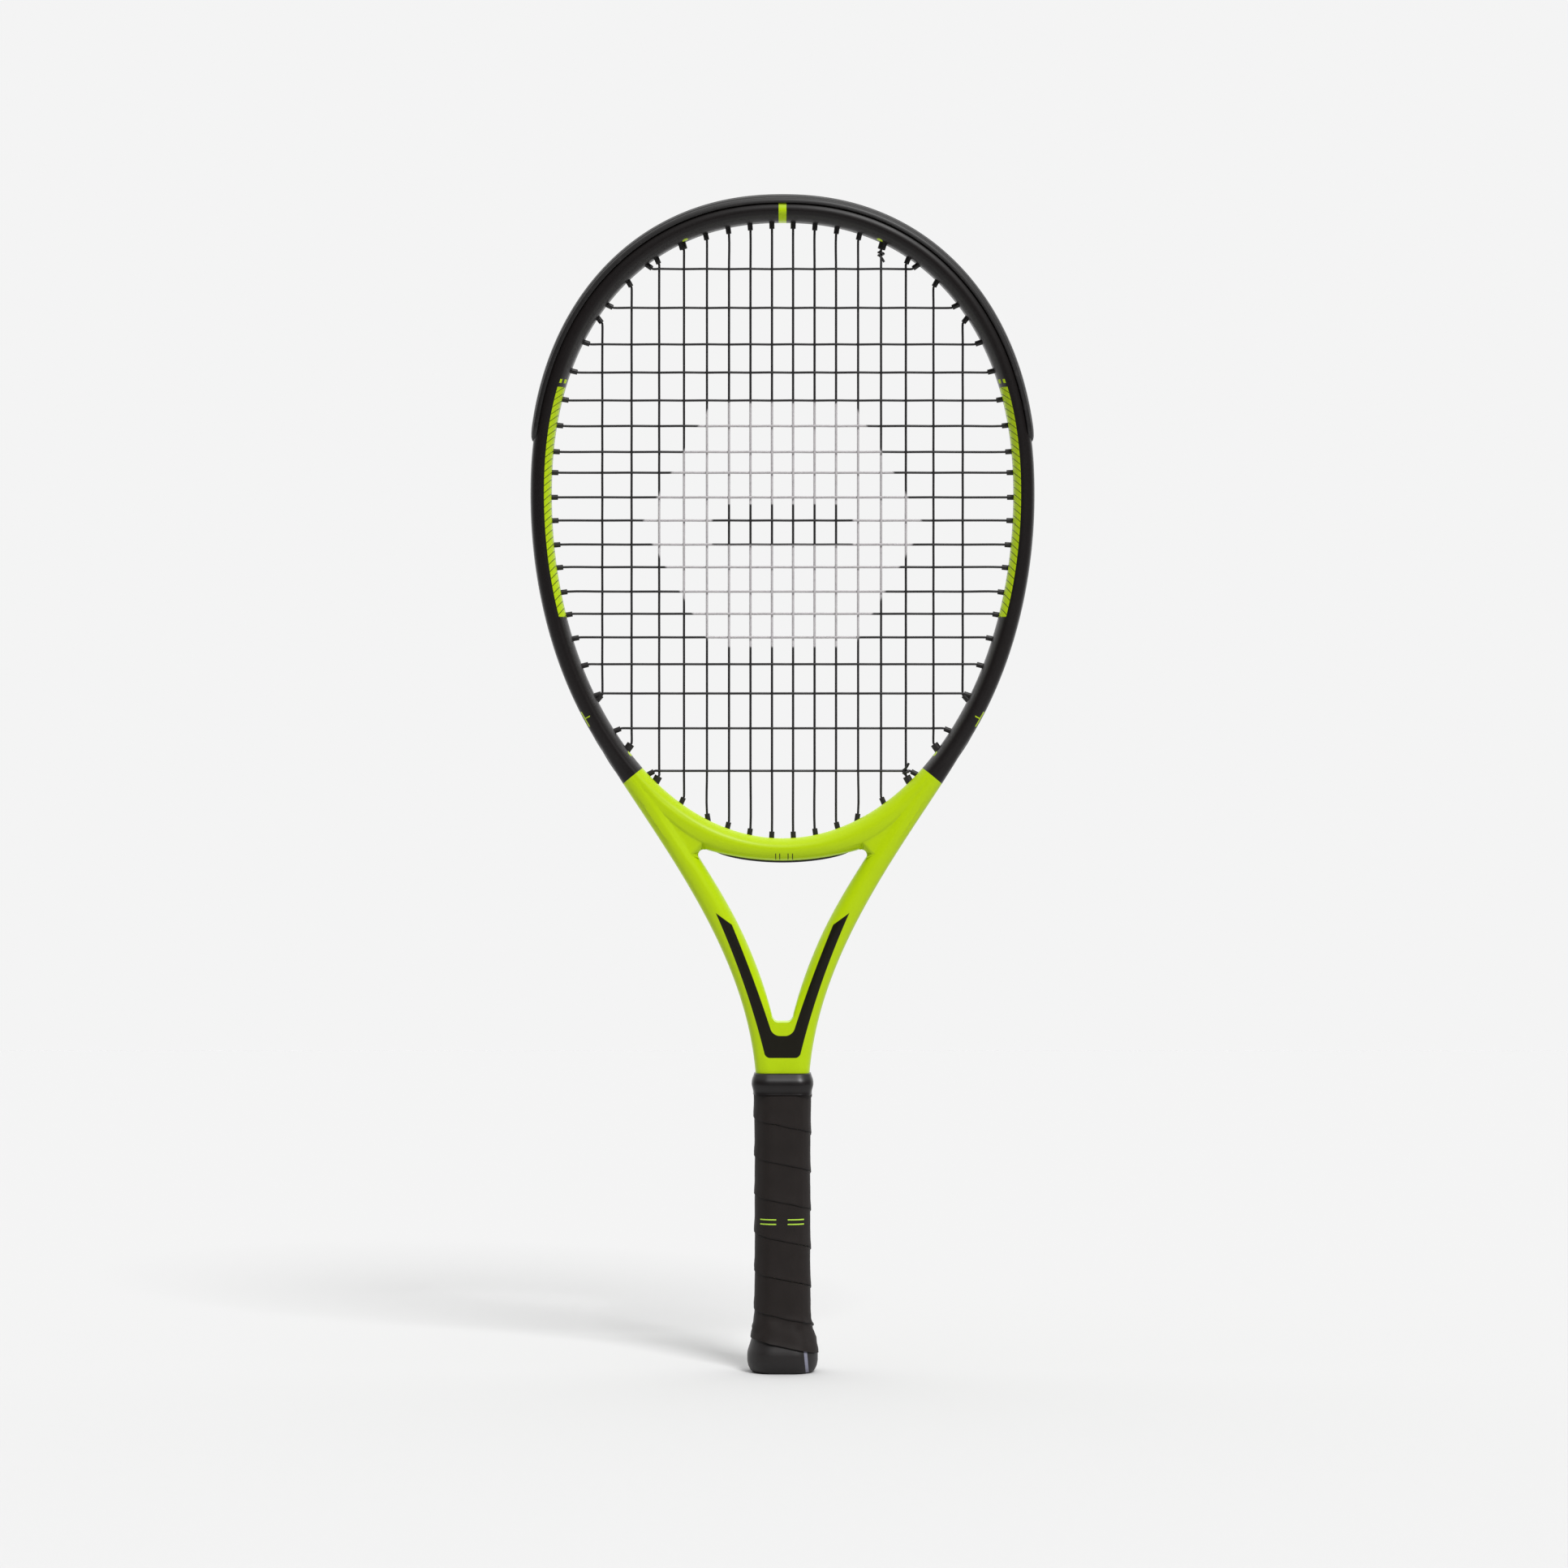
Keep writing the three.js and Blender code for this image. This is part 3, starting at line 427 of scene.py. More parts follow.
def apply_modifiers(piece):
    """Applies a piece's modifiers in their order."""
    select_only(piece)
    for modifier in list(piece.modifiers):
        bpy.ops.object.modifier_apply(modifier=modifier.name)


def smooth_faces(piece, degrees):
    select_only(piece)
    bpy.ops.object.shade_smooth_by_angle(angle=math.radians(degrees))


def fit(piece, material, slot, *nodes):
    """Fastens a finished piece to the racket, in place of its plain solids."""
    piece.data.materials.clear()
    piece.data.materials.append(material)
    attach(piece, "root")
    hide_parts(*nodes)


def make_ring():
    steps = 300
    stations = []
    for i in range(steps + 1):
        angle = -QUARTER + 2 * math.pi * i / steps
        stations.append((hoop_edge(angle), hoop_normal(angle), bridge_width(angle), 1.0))
    return sweep("racket_frame", stations, lambda i: tube_section(stations[i][2]))


def arm_channel(z):
    """The channel is full above the yoke and has run out where the arm bends to the shaft."""
    return 1 - smooth(CHANNEL_END - z, 0, CHANNEL_RUN_OUT)


def make_arm(side):
    """An arm and its half of the shaft. It starts inside the rim, a little thinner than that."""
    lead_steps = 5
    steps = 70
    stations = []
    flats = []
    channels = []
    for i in range(lead_steps + 1):
        angle = ARM_START + ARM_LEAD * (1 - i / lead_steps)
        stations.append((hoop_edge(angle), hoop_normal(angle), RIM_WIDTH, ARM_SIZE_IN_RIM))
        flats.append(0)
        channels.append(1)
    for i in range(1, steps + 1):
        t = i / steps
        inner, normal, width = arm_station(t)
        size = lerp(ARM_SIZE_IN_RIM, 1, smooth(t, 0.02, 0.2))
        stations.append((inner, normal, width, size))
        flats.append(1 - smooth(inner.y, THROAT_FOOT + 1.3, THROAT_FOOT + 27.3))
        channels.append(arm_channel(arm_curve(t)[0].y))
    inner, normal, width = arm_station(1)
    stations.append((Vector((inner.x, FRAME_FOOT)), normal, width, 1.0))
    flats.append(1)
    channels.append(0)
    if side < 0:
        stations = [(Vector((-inner.x, inner.y)), Vector((-normal.x, normal.y)), width, size)
                    for inner, normal, width, size in stations]
    word = "right" if side > 0 else "left"

    def section_at(i):
        return tube_section(stations[i][2], flats[i], channels[i])

    return sweep(f"arm_{word}", stations, section_at)


def make_plate(name, outline, half_depth, cuts=0):
    """A flat outline (x, z) drawn out to both sides of the middle plane."""
    bpy.ops.object.select_all(action="DESELECT")
    bpy.ops.mesh.primitive_circle_add(vertices=len(outline), fill_type="NGON", radius=1)
    plate = bpy.context.object
    plate.name = name
    for vertex, (x, z) in zip(plate.data.vertices, outline):
        vertex.co = Vector((x, -half_depth, z)) * MM
    bpy.ops.object.mode_set(mode="EDIT")
    bpy.ops.mesh.select_all(action="SELECT")
    bpy.ops.mesh.extrude_region_move(
        TRANSFORM_OT_translate={"value": (0, 2 * half_depth * MM, 0)}
    )
    if cuts:
        bpy.ops.mesh.select_all(action="SELECT")
        bpy.ops.mesh.quads_convert_to_tris(quad_method="BEAUTY", ngon_method="BEAUTY")
        bpy.ops.mesh.subdivide(number_cuts=cuts)
    bpy.ops.object.mode_set(mode="OBJECT")
    close_up(plate, caps=False)
    return plate


def arc_between(corner, first, second, radius, steps=7):
    """Points of the fillet that rounds a corner between two directions that leave it."""
    first = first.normalized()
    second = second.normalized()
    half = first.angle(second) / 2
    bisector = (first + second).normalized()
    centre = corner + bisector * (radius / math.sin(half))
    start = corner + first * (radius / math.tan(half)) - centre
    end = corner + second * (radius / math.tan(half)) - centre
    points = []
    for i in range(steps + 1):
        t = i / steps
        points.append(centre + start.slerp(end, t) * radius)
    return points


def make_yoke_web(side):
    """Fills the notch between the bridge and an arm, with a rounded throat corner."""
    corner = Vector((49.3, 283.9))
    along_bridge = Vector((-1, -0.293))
    along_arm = Vector((-0.51, -0.86))
    arc = arc_between(corner, along_bridge, along_arm, 3.2)
    outline = arc + [Vector((50.5, 279)), Vector((61.5, 291)), Vector((71.5, 303.5)),
                     Vector((65, 307)), Vector((52, 295.5)), Vector((42.5, 288.5))]
    outline = [(side * point.x, point.y) for point in outline]
    return make_plate("yoke_web", outline, 9.0, cuts=4)


def make_throat_web():
    """Joins the two shafts below the throat, with rounded corners at the throat's foot."""
    corner = Vector((4.5, THROAT_FOOT))
    inwards = Vector((-1, 0))
    along_arm = Vector((0.33, 0.94))
    arc = arc_between(corner, inwards, along_arm, 2.9)
    right = arc + [Vector((9.5, 194.5)), Vector((8.5, 175)), Vector((6, 146))]
    outline = [(point.x, point.y) for point in right]
    outline += [(-point.x, point.y) for point in reversed(right)]
    return make_plate("throat_web", outline, 10.3)


def blend_yoke(piece):
    """Lets the bridge, the webs and the arms flow together, as they do out of the mould: the
    faces near a line up each notch are smoothed, in ever narrower bands."""
    low, high = Vector((43.5, 280.5)), Vector((69, 304.5))
    clear_of_channel = 4.2
    for reach in (8.5, 7.0, 5.5, 4.0):
        chosen = []
        for vertex in piece.data.vertices:
            here = Vector((abs(vertex.co.x), vertex.co.z)) / MM
            share = (here - low).dot(high - low) / (high - low).length_squared
            away = (here - low.lerp(high, min(max(share, 0), 1))).length
            chosen.append(away < reach and abs(vertex.co.y) > clear_of_channel * MM)
        select_only(piece)
        bpy.ops.object.mode_set(mode="EDIT")
        bpy.ops.mesh.select_all(action="DESELECT")
        bpy.ops.object.mode_set(mode="OBJECT")
        for vertex, is_chosen in zip(piece.data.vertices, chosen):
            vertex.select = is_chosen
        bpy.ops.object.mode_set(mode="EDIT")
        bpy.ops.mesh.vertices_smooth(factor=0.5, repeat=4, xaxis=False, yaxis=True, zaxis=False)
        bpy.ops.object.mode_set(mode="OBJECT")


racket_frame = make_ring()
members = bpy.data.collections.new("members")
scene.collection.children.link(members)
for member in [make_arm(1), make_arm(-1), make_yoke_web(1), make_yoke_web(-1), make_throat_web()]:
    for home in list(member.users_collection):
        home.objects.unlink(member)
    members.objects.link(member)
moulding = racket_frame.modifiers.new("moulded_in", "BOOLEAN")
moulding.operation = "UNION"
moulding.operand_type = "COLLECTION"
moulding.collection = members
moulding.solver = "EXACT"
apply_modifiers(racket_frame)
for member in list(members.objects):
    bpy.data.objects.remove(member)
bpy.data.collections.remove(members)
blend_yoke(racket_frame)
smooth_faces(racket_frame, 42)

# where the paint lies, in millimetres on the face of the racket: the lime from the yoke down,
# a bar at the top, a hatched strip, two dots and a plus on each side, the V, and the ticks
# on the bridge
YOKE_PAINT_X = 86.0
YOKE_PAINT_Z = 317.0
YOKE_PAINT_SLOPE = 0.818
TOP_BAR_HALF = 2.1
TOP_BAR_FOOT = 600.0
FLASH_FOOT = 407.0
FLASH_TOP = 530.7
FLASH_WIDTH = 3.6
HATCH_PITCH = 3.85
HATCH_GAP = 3.25
DOTS_FOOT = 532.8
DOTS_TOP = 534.9
PLUS_X = 106.34
PLUS_Z = 352.13
PLUS_HALF_LINE = 0.35
LONG_STROKE = (347.9, 355.8)
LONG_STROKE_LEAN = 0.57
SHORT_STROKE = (103.6, 106.2)
SHORT_STROKE_LEAN = 0.5
DABS = [(52.4, -4.6, 610.2, 1.7), (82.4, -4.6, 333.2, 1.6)]
DECAL_FOOT = 169.6
DECAL_CROOK = 181.5
DECAL_LEVEL = 207.4
DECAL_TOP_X = 34.5
DECAL_TOP_Z = 246.6
DECAL_OFF_MIDDLE = 7.5
DECAL_BLACK = (0.0065, 0.0055, 0.002, 1)
TICKS_X = (-3.7, -1.5, 3.0, 5.4)
TICKS_FOOT = 276.3
TICKS_TOP = 279.6
TICK_HALF = 0.25
CHAMFER_START = 0.6
CHAMFER_END = 3.0


def places_in_mm(shade):
    """The x, y and z of a place on the racket, in millimetres."""
    here = shade.node("ShaderNodeTexCoord", out="Object")
    scaled = shade.node(
        "ShaderNodeVectorMath", {"operation": "SCALE"}, {0: here, "Scale": 1 / MM}
    )
    parts = shade.node("ShaderNodeSeparateXYZ", None, {0: scaled})
    outputs = parts.socket.node.outputs
    return [Shade(shade.tree, outputs[i]) for i in range(3)]


def up_the_pattern(shade):
    """The second coordinate of a piece's flat pattern."""
    pattern = shade.node("ShaderNodeUVMap", {"uv_map": "UVMap"})
    parts = shade.node("ShaderNodeSeparateXYZ", None, {0: pattern})
    return Shade(shade.tree, parts.socket.node.outputs[1])


def bump(shade, height, depth_mm, strength):
    """A normal for relief of this depth over the surface."""
    sockets = {"Strength": strength, "Distance": depth_mm * MM, "Height": height}
    return shade.node("ShaderNodeBump", None, sockets)


def spot(at_x, at_y, at_z, radius):
    """A small dab of paint at both sides."""
    away = ((side - at_x) ** 2 + (y - at_y) ** 2 + (z - at_z) ** 2) ** 0.5
    return 1 - away.above(radius, 0.3)


def rounded_corner(first, second, radius):
    """Over 0 inside two edges whose corner is rounded, from the distances to the edges."""
    short_of_first = (radius - first).most(0)
    short_of_second = (radius - second).most(0)
    return radius - (short_of_first ** 2 + short_of_second ** 2) ** 0.5


def decal_edge(start, lean, bend):
    """Over 0 on the middle's side of an edge of the black V, which bends like the arm."""
    up = z - DECAL_LEVEL
    return start + lean * up + bend * up * up - side


lacquer, shade = new_material("frame_lacquer")
x, y, z = places_in_mm(shade)
side = abs(x)
across = up_the_pattern(shade) / MM
on_front = 1 - y.above(0)

lime = 1 - (z - YOKE_PAINT_Z - YOKE_PAINT_SLOPE * (YOKE_PAINT_X - side)).above(0, 0.2)
top_bar = (1 - side.above(TOP_BAR_HALF)) * z.above(TOP_BAR_FOOT)
flash = z.within(FLASH_FOOT, FLASH_TOP, 0.2) * (1 - across.above(FLASH_WIDTH, 0.15)) * on_front
hatch = ((z + across) % HATCH_PITCH).above(HATCH_GAP, 0.1)
dots = z.within(DOTS_FOOT, DOTS_TOP) * (across.within(0.2, 1.2) + across.within(2.3, 3.4)) * on_front
off_long_line = side - PLUS_X - LONG_STROKE_LEAN * (z - PLUS_Z)
long_stroke = off_long_line.within(-PLUS_HALF_LINE, PLUS_HALF_LINE, 0.08) * z.within(*LONG_STROKE)
off_short_line = z - PLUS_Z + SHORT_STROKE_LEAN * (side - PLUS_X)
short_stroke = off_short_line.within(-PLUS_HALF_LINE, PLUS_HALF_LINE, 0.08)
short_stroke = short_stroke * side.within(*SHORT_STROKE)
plus = (long_stroke + short_stroke) * on_front
dabs = sum(spot(*dab) for dab in DABS)
painted = (lime + top_bar + flash + dots + plus + dabs).least(1)

inside_outer = decal_edge(20.15, 0.34, 0.00131)
inside_inner = decal_edge(14.05, 0.361, 0.00083)
past_top = z - DECAL_TOP_Z + 0.73 * (DECAL_TOP_X - side)
decal = rounded_corner(inside_outer * 0.95, z - DECAL_FOOT, 2.4).above(0, 0.15)
decal = decal * (1 - rounded_corner(inside_inner * 0.95, z - DECAL_CROOK, 3.6).above(0, 0.15))
decal = decal * (1 - past_top.above(0, 0.15)) * abs(y).above(DECAL_OFF_MIDDLE, 0.3)
ticks = sum(x.within(at_x - TICK_HALF, at_x + TICK_HALF, 0.1) for at_x in TICKS_X)
ticks = ticks * z.within(TICKS_FOOT, TICKS_TOP, 0.15) * on_front
dark = (decal + ticks + flash * hatch * 0.75).least(1)

mottle = grain(shade, 900, 2.0)
flow = grain(shade, 260, 2.0)
lime_tone = mottle.mix((0.41, 0.580, 0.0005, 1), (0.455, 0.635, 0.0005, 1))
black_tone = mottle.mix((0.006, 0.0045, 0.0045, 1), (0.011, 0.009, 0.009, 1))
colour = dark.mix(painted.mix(black_tone, lime_tone), DECAL_BLACK)

# the black lacquer is glossier along the inner chamfer, and less so towards the top
chamfer = across.within(CHAMFER_START, CHAMFER_END, 0.9)
polished = chamfer * (1 - painted) * (1 - z.above(560, 30) * 0.5)
finish(lacquer, {
    "Base Color": colour,
    "Roughness": 0.38 + 0.08 * flow,
    "Specular IOR Level": 0.19,
    "Coat Weight": 0.04 + 0.9 * polished,
    "Coat Roughness": 0.3,
    "Normal": bump(shade, mottle, 0.02, 0.5),
})
fit(racket_frame, lacquer, "frame_lacquer", "frame", "throat_bridge")

# ---- string holes and grommet barrels -----------------------------------------------------
# Every string leaves the rim through a hollow nylon barrel, a short tapered tube with a softened
# mouth, moulded in one with the strip that carries it. The holes lean a little towards the run
# of their string.
BARREL_LENGTH = 3.3
BARREL_RADIUS = 1.5
BORE_RADIUS = 0.95
BORE_DEPTH = 2.2
MOUTH_TAPER = 0.96
LIP = 0.12
LIP_RISE = 0.15
WIDE_BARREL = 1.5
HOLE_LEAN = 0.35
STRING_BEND = 4.0
NEAR_CHANNEL = 8.0

# the mains are counted from the middle outwards, from 0, and the crosses from the top down
FIRST_TIED = 4
LAST_TIED = 5
WIDE_BELOW = (5, 6)
OVER_BRIDGE = range(4)
MAINS_X = [5.7, 17.3, 28.9, 40.8, 53.2, 66.6, 81.5, 97.3]
CROSSES_Z = [595.1, 574.1, 554.4, 539.2, 524.1, 510.3, 496.3, 485.1, 471.8, 459.3,
             446.3, 434.1, 420.9, 408.9, 396.2, 381.7, 365.9, 347.1, 324.1]


def arm_channel_floor(t):
    """A place on the floor of the string channel along the arm."""
    inner, normal, width = arm_station(t)
    filled = 1 - CHANNEL_DEPTH / RIM_WIDTH * arm_channel(arm_curve(t)[0].y)
    return inner + normal * (width * filled)


class Hole:
    """A string hole: its side, its angle on the hoop, its axis and how deep the channel is."""

    def __init__(self, side, angle, axis_at, wide=False):
        self.side = side
        self.angle = angle
        self.axis = axis_at(angle)
        self.wide = wide
        channel_floor = RIM_WIDTH - CHANNEL_DEPTH
        if angle > ARM_START:
            self.outer = channel_floor / self.axis.dot(hoop_normal(angle))
        else:
            self.outer = self.depth_through_arm()

    def depth_through_arm(self):
        """How far along the axis the channel's floor is, looked for in small steps."""
        start = hoop_edge(self.angle)
        nearest = (math.inf, 0)
        for i in range(300):
            away = arm_channel_floor(i * 0.002) - start
            sideways = abs(away.x * self.axis.y - away.y * self.axis.x)
            nearest = min(nearest, (sideways, away.dot(self.axis)))
        return nearest[1]

    def at(self, outwards, y=0.0):
        """A place on the hole's axis, measured outwards from the hoop's inner edge."""
        point = hoop_edge(self.angle) + self.axis * outwards
        return Vector((self.side * point.x, y, point.y))


def leaning(along):
    """The axis of a hole that leans from the rim's normal towards the run of its string."""
    def axis_at(angle):
        return (hoop_normal(angle) * (1 - HOLE_LEAN) + Vector(along) * HOLE_LEAN).normalized()
    return axis_at


def find_angle(start, stop, wanted, direction, axis_at):
    """The angle where a string that leaves its barrel runs along the wanted x or z."""
    def reached(angle):
        return (hoop_edge(angle) - axis_at(angle) * STRING_BEND)[direction]

    first, last = start, stop
    rising = reached(stop) > reached(start)
    for _ in range(40):
        between = (first + last) / 2
        if (reached(between) < wanted) == rising:
            first = between
        else:
            last = between
    return (first + last) / 2


across_axis = leaning((1, 0))
top_axis = leaning((0, 1))
bottom_axes = [leaning((0, -1)) for _ in MAINS_X]
bottom_axes[OVER_BRIDGE[-1]] = lambda angle: Vector((-0.15, -1)).normalized()
top_angles = [find_angle(0.1, QUARTER, x, 0, top_axis) for x in MAINS_X]
bottom_angles = [find_angle(-QUARTER, -0.1, x, 0, axis) for x, axis in zip(MAINS_X, bottom_axes)]
cross_angles = [find_angle(-1.4, 1.4, z, 1, across_axis) for z in CROSSES_Z]


def main_top(side, i):
    return Hole(side, top_angles[i], top_axis, wide=i == FIRST_TIED)


def main_bottom(side, i):
    hole = Hole(side, bottom_angles[i], bottom_axes[i], wide=i in WIDE_BELOW)
    if i in OVER_BRIDGE:
        x = hole.at(NEAR_CHANNEL).x
        roof = BRIDGE_UNDERSIDE + BRIDGE_RISE * x * x + CHANNEL_DEPTH
        hole.outer = (hoop_edge(hole.angle).y - roof) / -hole.axis.y
    return hole


def cross_end(side, k):
    return Hole(side, cross_angles[k], across_axis)


def make_barrel(hole, extra=0.9):
    """A tapered tube from inside the channel to just inside the hoop, open at its mouth."""
    widen = WIDE_BARREL if hole.wide else 1.0
    length = BARREL_LENGTH + hole.outer + extra
    bpy.ops.object.select_all(action="DESELECT")
    bpy.ops.mesh.primitive_cylinder_add(
        vertices=14, radius=BARREL_RADIUS * widen * MM, depth=length * MM,
        location=(0, 0, length * MM / 2),
    )
    barrel = bpy.context.object
    bpy.ops.object.transform_apply(location=True)
    bpy.ops.object.mode_set(mode="EDIT")
    bpy.ops.mesh.select_all(action="DESELECT")
    mesh = bmesh.from_edit_mesh(barrel.data)
    for face in mesh.faces:
        face.select = face.normal.z < -0.9
    mesh.select_flush_mode()
    bmesh.update_edit_mesh(barrel.data)
    bpy.ops.transform.resize(value=(MOUTH_TAPER, MOUTH_TAPER, 1), center_override=(0, 0, 0))
    bpy.ops.mesh.inset(thickness=LIP * MM, depth=LIP_RISE * MM)
    wall = BARREL_RADIUS * MOUTH_TAPER - BORE_RADIUS - LIP
    bpy.ops.mesh.inset(thickness=wall * widen * MM)
    bpy.ops.mesh.extrude_region_move(TRANSFORM_OT_translate={"value": (0, 0, BORE_DEPTH * MM)})
    bpy.ops.object.mode_set(mode="OBJECT")
    turn = Vector((0, 0, 1)).rotation_difference(
        Vector((hole.side * hole.axis.x, 0, hole.axis.y))
    ).to_matrix().to_4x4()
    turn.translation = hole.at(-BARREL_LENGTH) * MM
    barrel.data.transform(turn)
    return barrel


def join(piece, others):
    select_only(piece)
    for other in others:
        other.select_set(True)
    bpy.ops.object.join()


def both_sides(make, numbers):
    return [make(side, i) for side in (1, -1) for i in numbers]


# ---- bumper guard -------------------------------------------------------------------------
# A black nylon moulding that wraps the top half of the hoop and takes its scrapes. It is
# thickest at the top, has two ridges along its face, and carries its own row of barrels.
BUMPER_END = math.radians(12.7)
BUMPER_SEAT = RIM_WIDTH + 0.3
BUMPER_THIN = 0.42
TIP_SHARE = 0.045
BUMPER_SECTION = [
    (8.4, 2.85, 0.2), (BUMPER_SEAT, 2.85, 0.2), (BUMPER_SEAT, 6.0, 0.5), (10.75, 8.65, 0.9),
    (9.2, 9.6, 0.25), (9.6, 10.5, 0.45), (11.3, 10.15, 0.5), (12.2, 9.45, 0.35),
    (12.35, 8.9, 0.3), (13.3, 8.35, 0.5), (13.95, 7.0, 0.35), (13.85, 6.5, 0.3),
    (14.5, 5.6, 0.6), (14.8, 3.6, 0.6), (14.3, 2.25, 0.3), (9.6, 2.25, 0.2),
]


def make_bumper():
    """Runs round the top of the hoop, thinner towards both ends, where it closes in a tip."""
    steps = 200
    section = rounded(both_faces(BUMPER_SECTION), steps=3)

    def place(u, v):
        t = 2 * u - 1
        angle = QUARTER + t * (QUARTER - BUMPER_END)
        out, deep = section[round(v * len(section)) % len(section)]
        into_tip = max(abs(t) - (1 - TIP_SHARE), 0) / TIP_SHARE
        tip = math.sqrt(max(1 - into_tip ** 2, 0.0))
        swell = lerp(1, BUMPER_THIN, abs(t) ** 1.5) * lerp(0.15, 1, tip)
        if out > BUMPER_SEAT + 0.01:
            out = BUMPER_SEAT + (out - BUMPER_SEAT) * swell
        if abs(deep) > 3:
            deep = math.copysign(lerp(3, abs(deep), tip), deep)
        point = rim_point(angle, out)
        return point.x, deep, point.y

    return rolled("bumper", steps, len(section), place)


bumper = make_bumper()
under_bumper = [k for k in range(len(CROSSES_Z)) if cross_angles[k] > BUMPER_END]
bumper_holes = both_sides(main_top, range(len(MAINS_X))) + both_sides(cross_end, under_bumper)
join(bumper, [make_barrel(hole) for hole in bumper_holes])
smooth_faces(bumper, 35)

bumper_plastic, shade = new_material("bumper_plastic")
x, y, z = places_in_mm(shade)
texture = grain(shade, 1600, 2.0)
scuffs = grain(shade, 120, 5.0, 0.7).above(0.62, 0.06)
finish(bumper_plastic, {
    "Base Color": scuffs.mix((0.006, 0.005, 0.005, 1), (0.012, 0.010, 0.010, 1)),
    "Roughness": 0.42 + 0.1 * texture + 0.08 * scuffs,
    "Specular IOR Level": 0.45,
    "Normal": bump(shade, texture, 0.03, 0.6),
})
fit(bumper, bumper_plastic, "bumper_plastic", "bumper_guard")

# ---- grommet strips -----------------------------------------------------------------------
# Thin nylon strips that lie on the floor of the channel below the bumper, one on each side
# and one under the bridge, each with its row of barrels pushed through the rim. Between them
# four single grommets, two a side, are pushed in one by one.
STRIP_HALF = 2.85
STRIP_LIFT = 0.3
STRIP_FACE = STRIP_LIFT + 1.2
STRIP_SECTION = rounded([
    (STRIP_LIFT, -STRIP_HALF, 0.2), (STRIP_FACE, -STRIP_HALF, 0.35),
    (STRIP_FACE, STRIP_HALF, 0.35), (STRIP_LIFT, STRIP_HALF, 0.2),
], steps=2)
BRIDGE_STRIP_HALF = 38.0
RAIL = 0.8
RAIL_FOOT = -1.0
BRIDGE_STRIP_FACE = 1.45
BRIDGE_STRIP_BACK = 2.9
ARM_STRIP_END = 0.195
BUMPER_GAP = 0.012
ON_SIDE_STRIP = (6, 7)
SINGLE = (4, 5)


def make_side_strip(side):
    """From just below the bumper down the rim, and on along the arm's channel."""
    top = BUMPER_END - BUMPER_GAP
    rim_steps = 70
    arm_steps = 16
    stations = []
    for i in range(rim_steps + 1):
        angle = lerp(top, ARM_START, i / rim_steps)
        stations.append((rim_point(angle, RIM_WIDTH - CHANNEL_DEPTH), hoop_normal(angle)))
    for i in range(1, arm_steps + 1):
        t = i / arm_steps * ARM_STRIP_END
        stations.append((arm_channel_floor(t), arm_station(t)[1]))

    def place(u, v):
        channel_floor, normal = stations[round(u * (len(stations) - 1))]
        above, deep = STRIP_SECTION[round(v * len(STRIP_SECTION)) % len(STRIP_SECTION)]
        point = channel_floor + normal * above
        return side * point.x, deep, point.y

    word = "right" if side > 0 else "left"
    return rolled(f"side_strip_{word}", len(stations) - 1, len(STRIP_SECTION), place)


def make_bridge_strip():
    """Follows the bridge's underside, with two low rails that stand a little below it."""
    between_rails = 1.9
    section = rounded([
        (BRIDGE_STRIP_BACK, -STRIP_HALF, 0.1), (RAIL_FOOT, -STRIP_HALF, 0.3),
        (RAIL_FOOT, -STRIP_HALF + RAIL, 0.2), (BRIDGE_STRIP_FACE, -between_rails, 0.1),
        (BRIDGE_STRIP_FACE, between_rails, 0.1), (RAIL_FOOT, STRIP_HALF - RAIL, 0.2),
        (RAIL_FOOT, STRIP_HALF, 0.3), (BRIDGE_STRIP_BACK, STRIP_HALF, 0.1),
    ], steps=2)
    level_end = BRIDGE_STRIP_FACE + 0.1

    def place(u, v):
        x = BRIDGE_STRIP_HALF * (2 * u - 1)
        raised, deep = section[round(v * len(section)) % len(section)]
        tip = math.sqrt(max(1 - (abs(x) / BRIDGE_STRIP_HALF) ** 6, 0))
        if raised < level_end:
            raised = lerp(level_end, raised, tip)
        return x, deep, BRIDGE_UNDERSIDE + BRIDGE_RISE * x * x + raised

    return rolled("bridge_strip", 60, len(section), place)


strip_plastic, shade = new_material("grommet_plastic")
texture = grain(shade, 1400, 2.0)
finish(strip_plastic, {
    "Base Color": texture.mix((0.008, 0.007, 0.007, 1), (0.014, 0.012, 0.012, 1)),
    "Roughness": 0.46 + 0.12 * texture,
    "Specular IOR Level": 0.4,
    "Normal": bump(shade, texture, 0.02, 0.5),
})
beside = [k for k in range(len(CROSSES_Z)) if cross_angles[k] <= BUMPER_END]
for side, word in ((1, "right"), (-1, "left")):
    strip = make_side_strip(side)
    holes = [cross_end(side, k) for k in beside] + [main_bottom(side, i) for i in ON_SIDE_STRIP]
    join(strip, [make_barrel(hole) for hole in holes])
    smooth_faces(strip, 35)
    fit(strip, strip_plastic, "grommet_plastic", f"grommet_strip_{word}")
    for i in SINGLE:
        barrel = make_barrel(main_bottom(side, i), extra=0.5)
        barrel.name = f"single_grommet_{word}_{i + 1}"
        smooth_faces(barrel, 35)
        fit(barrel, strip_plastic, "grommet_plastic", f"grommet_{word}_main_{i + 1}")
bridge_strip = make_bridge_strip()
join(bridge_strip, [make_barrel(hole) for hole in both_sides(main_bottom, OVER_BRIDGE)])
smooth_faces(bridge_strip, 35)
fit(bridge_strip, strip_plastic, "grommet_plastic", "grommet_strip_bridge")

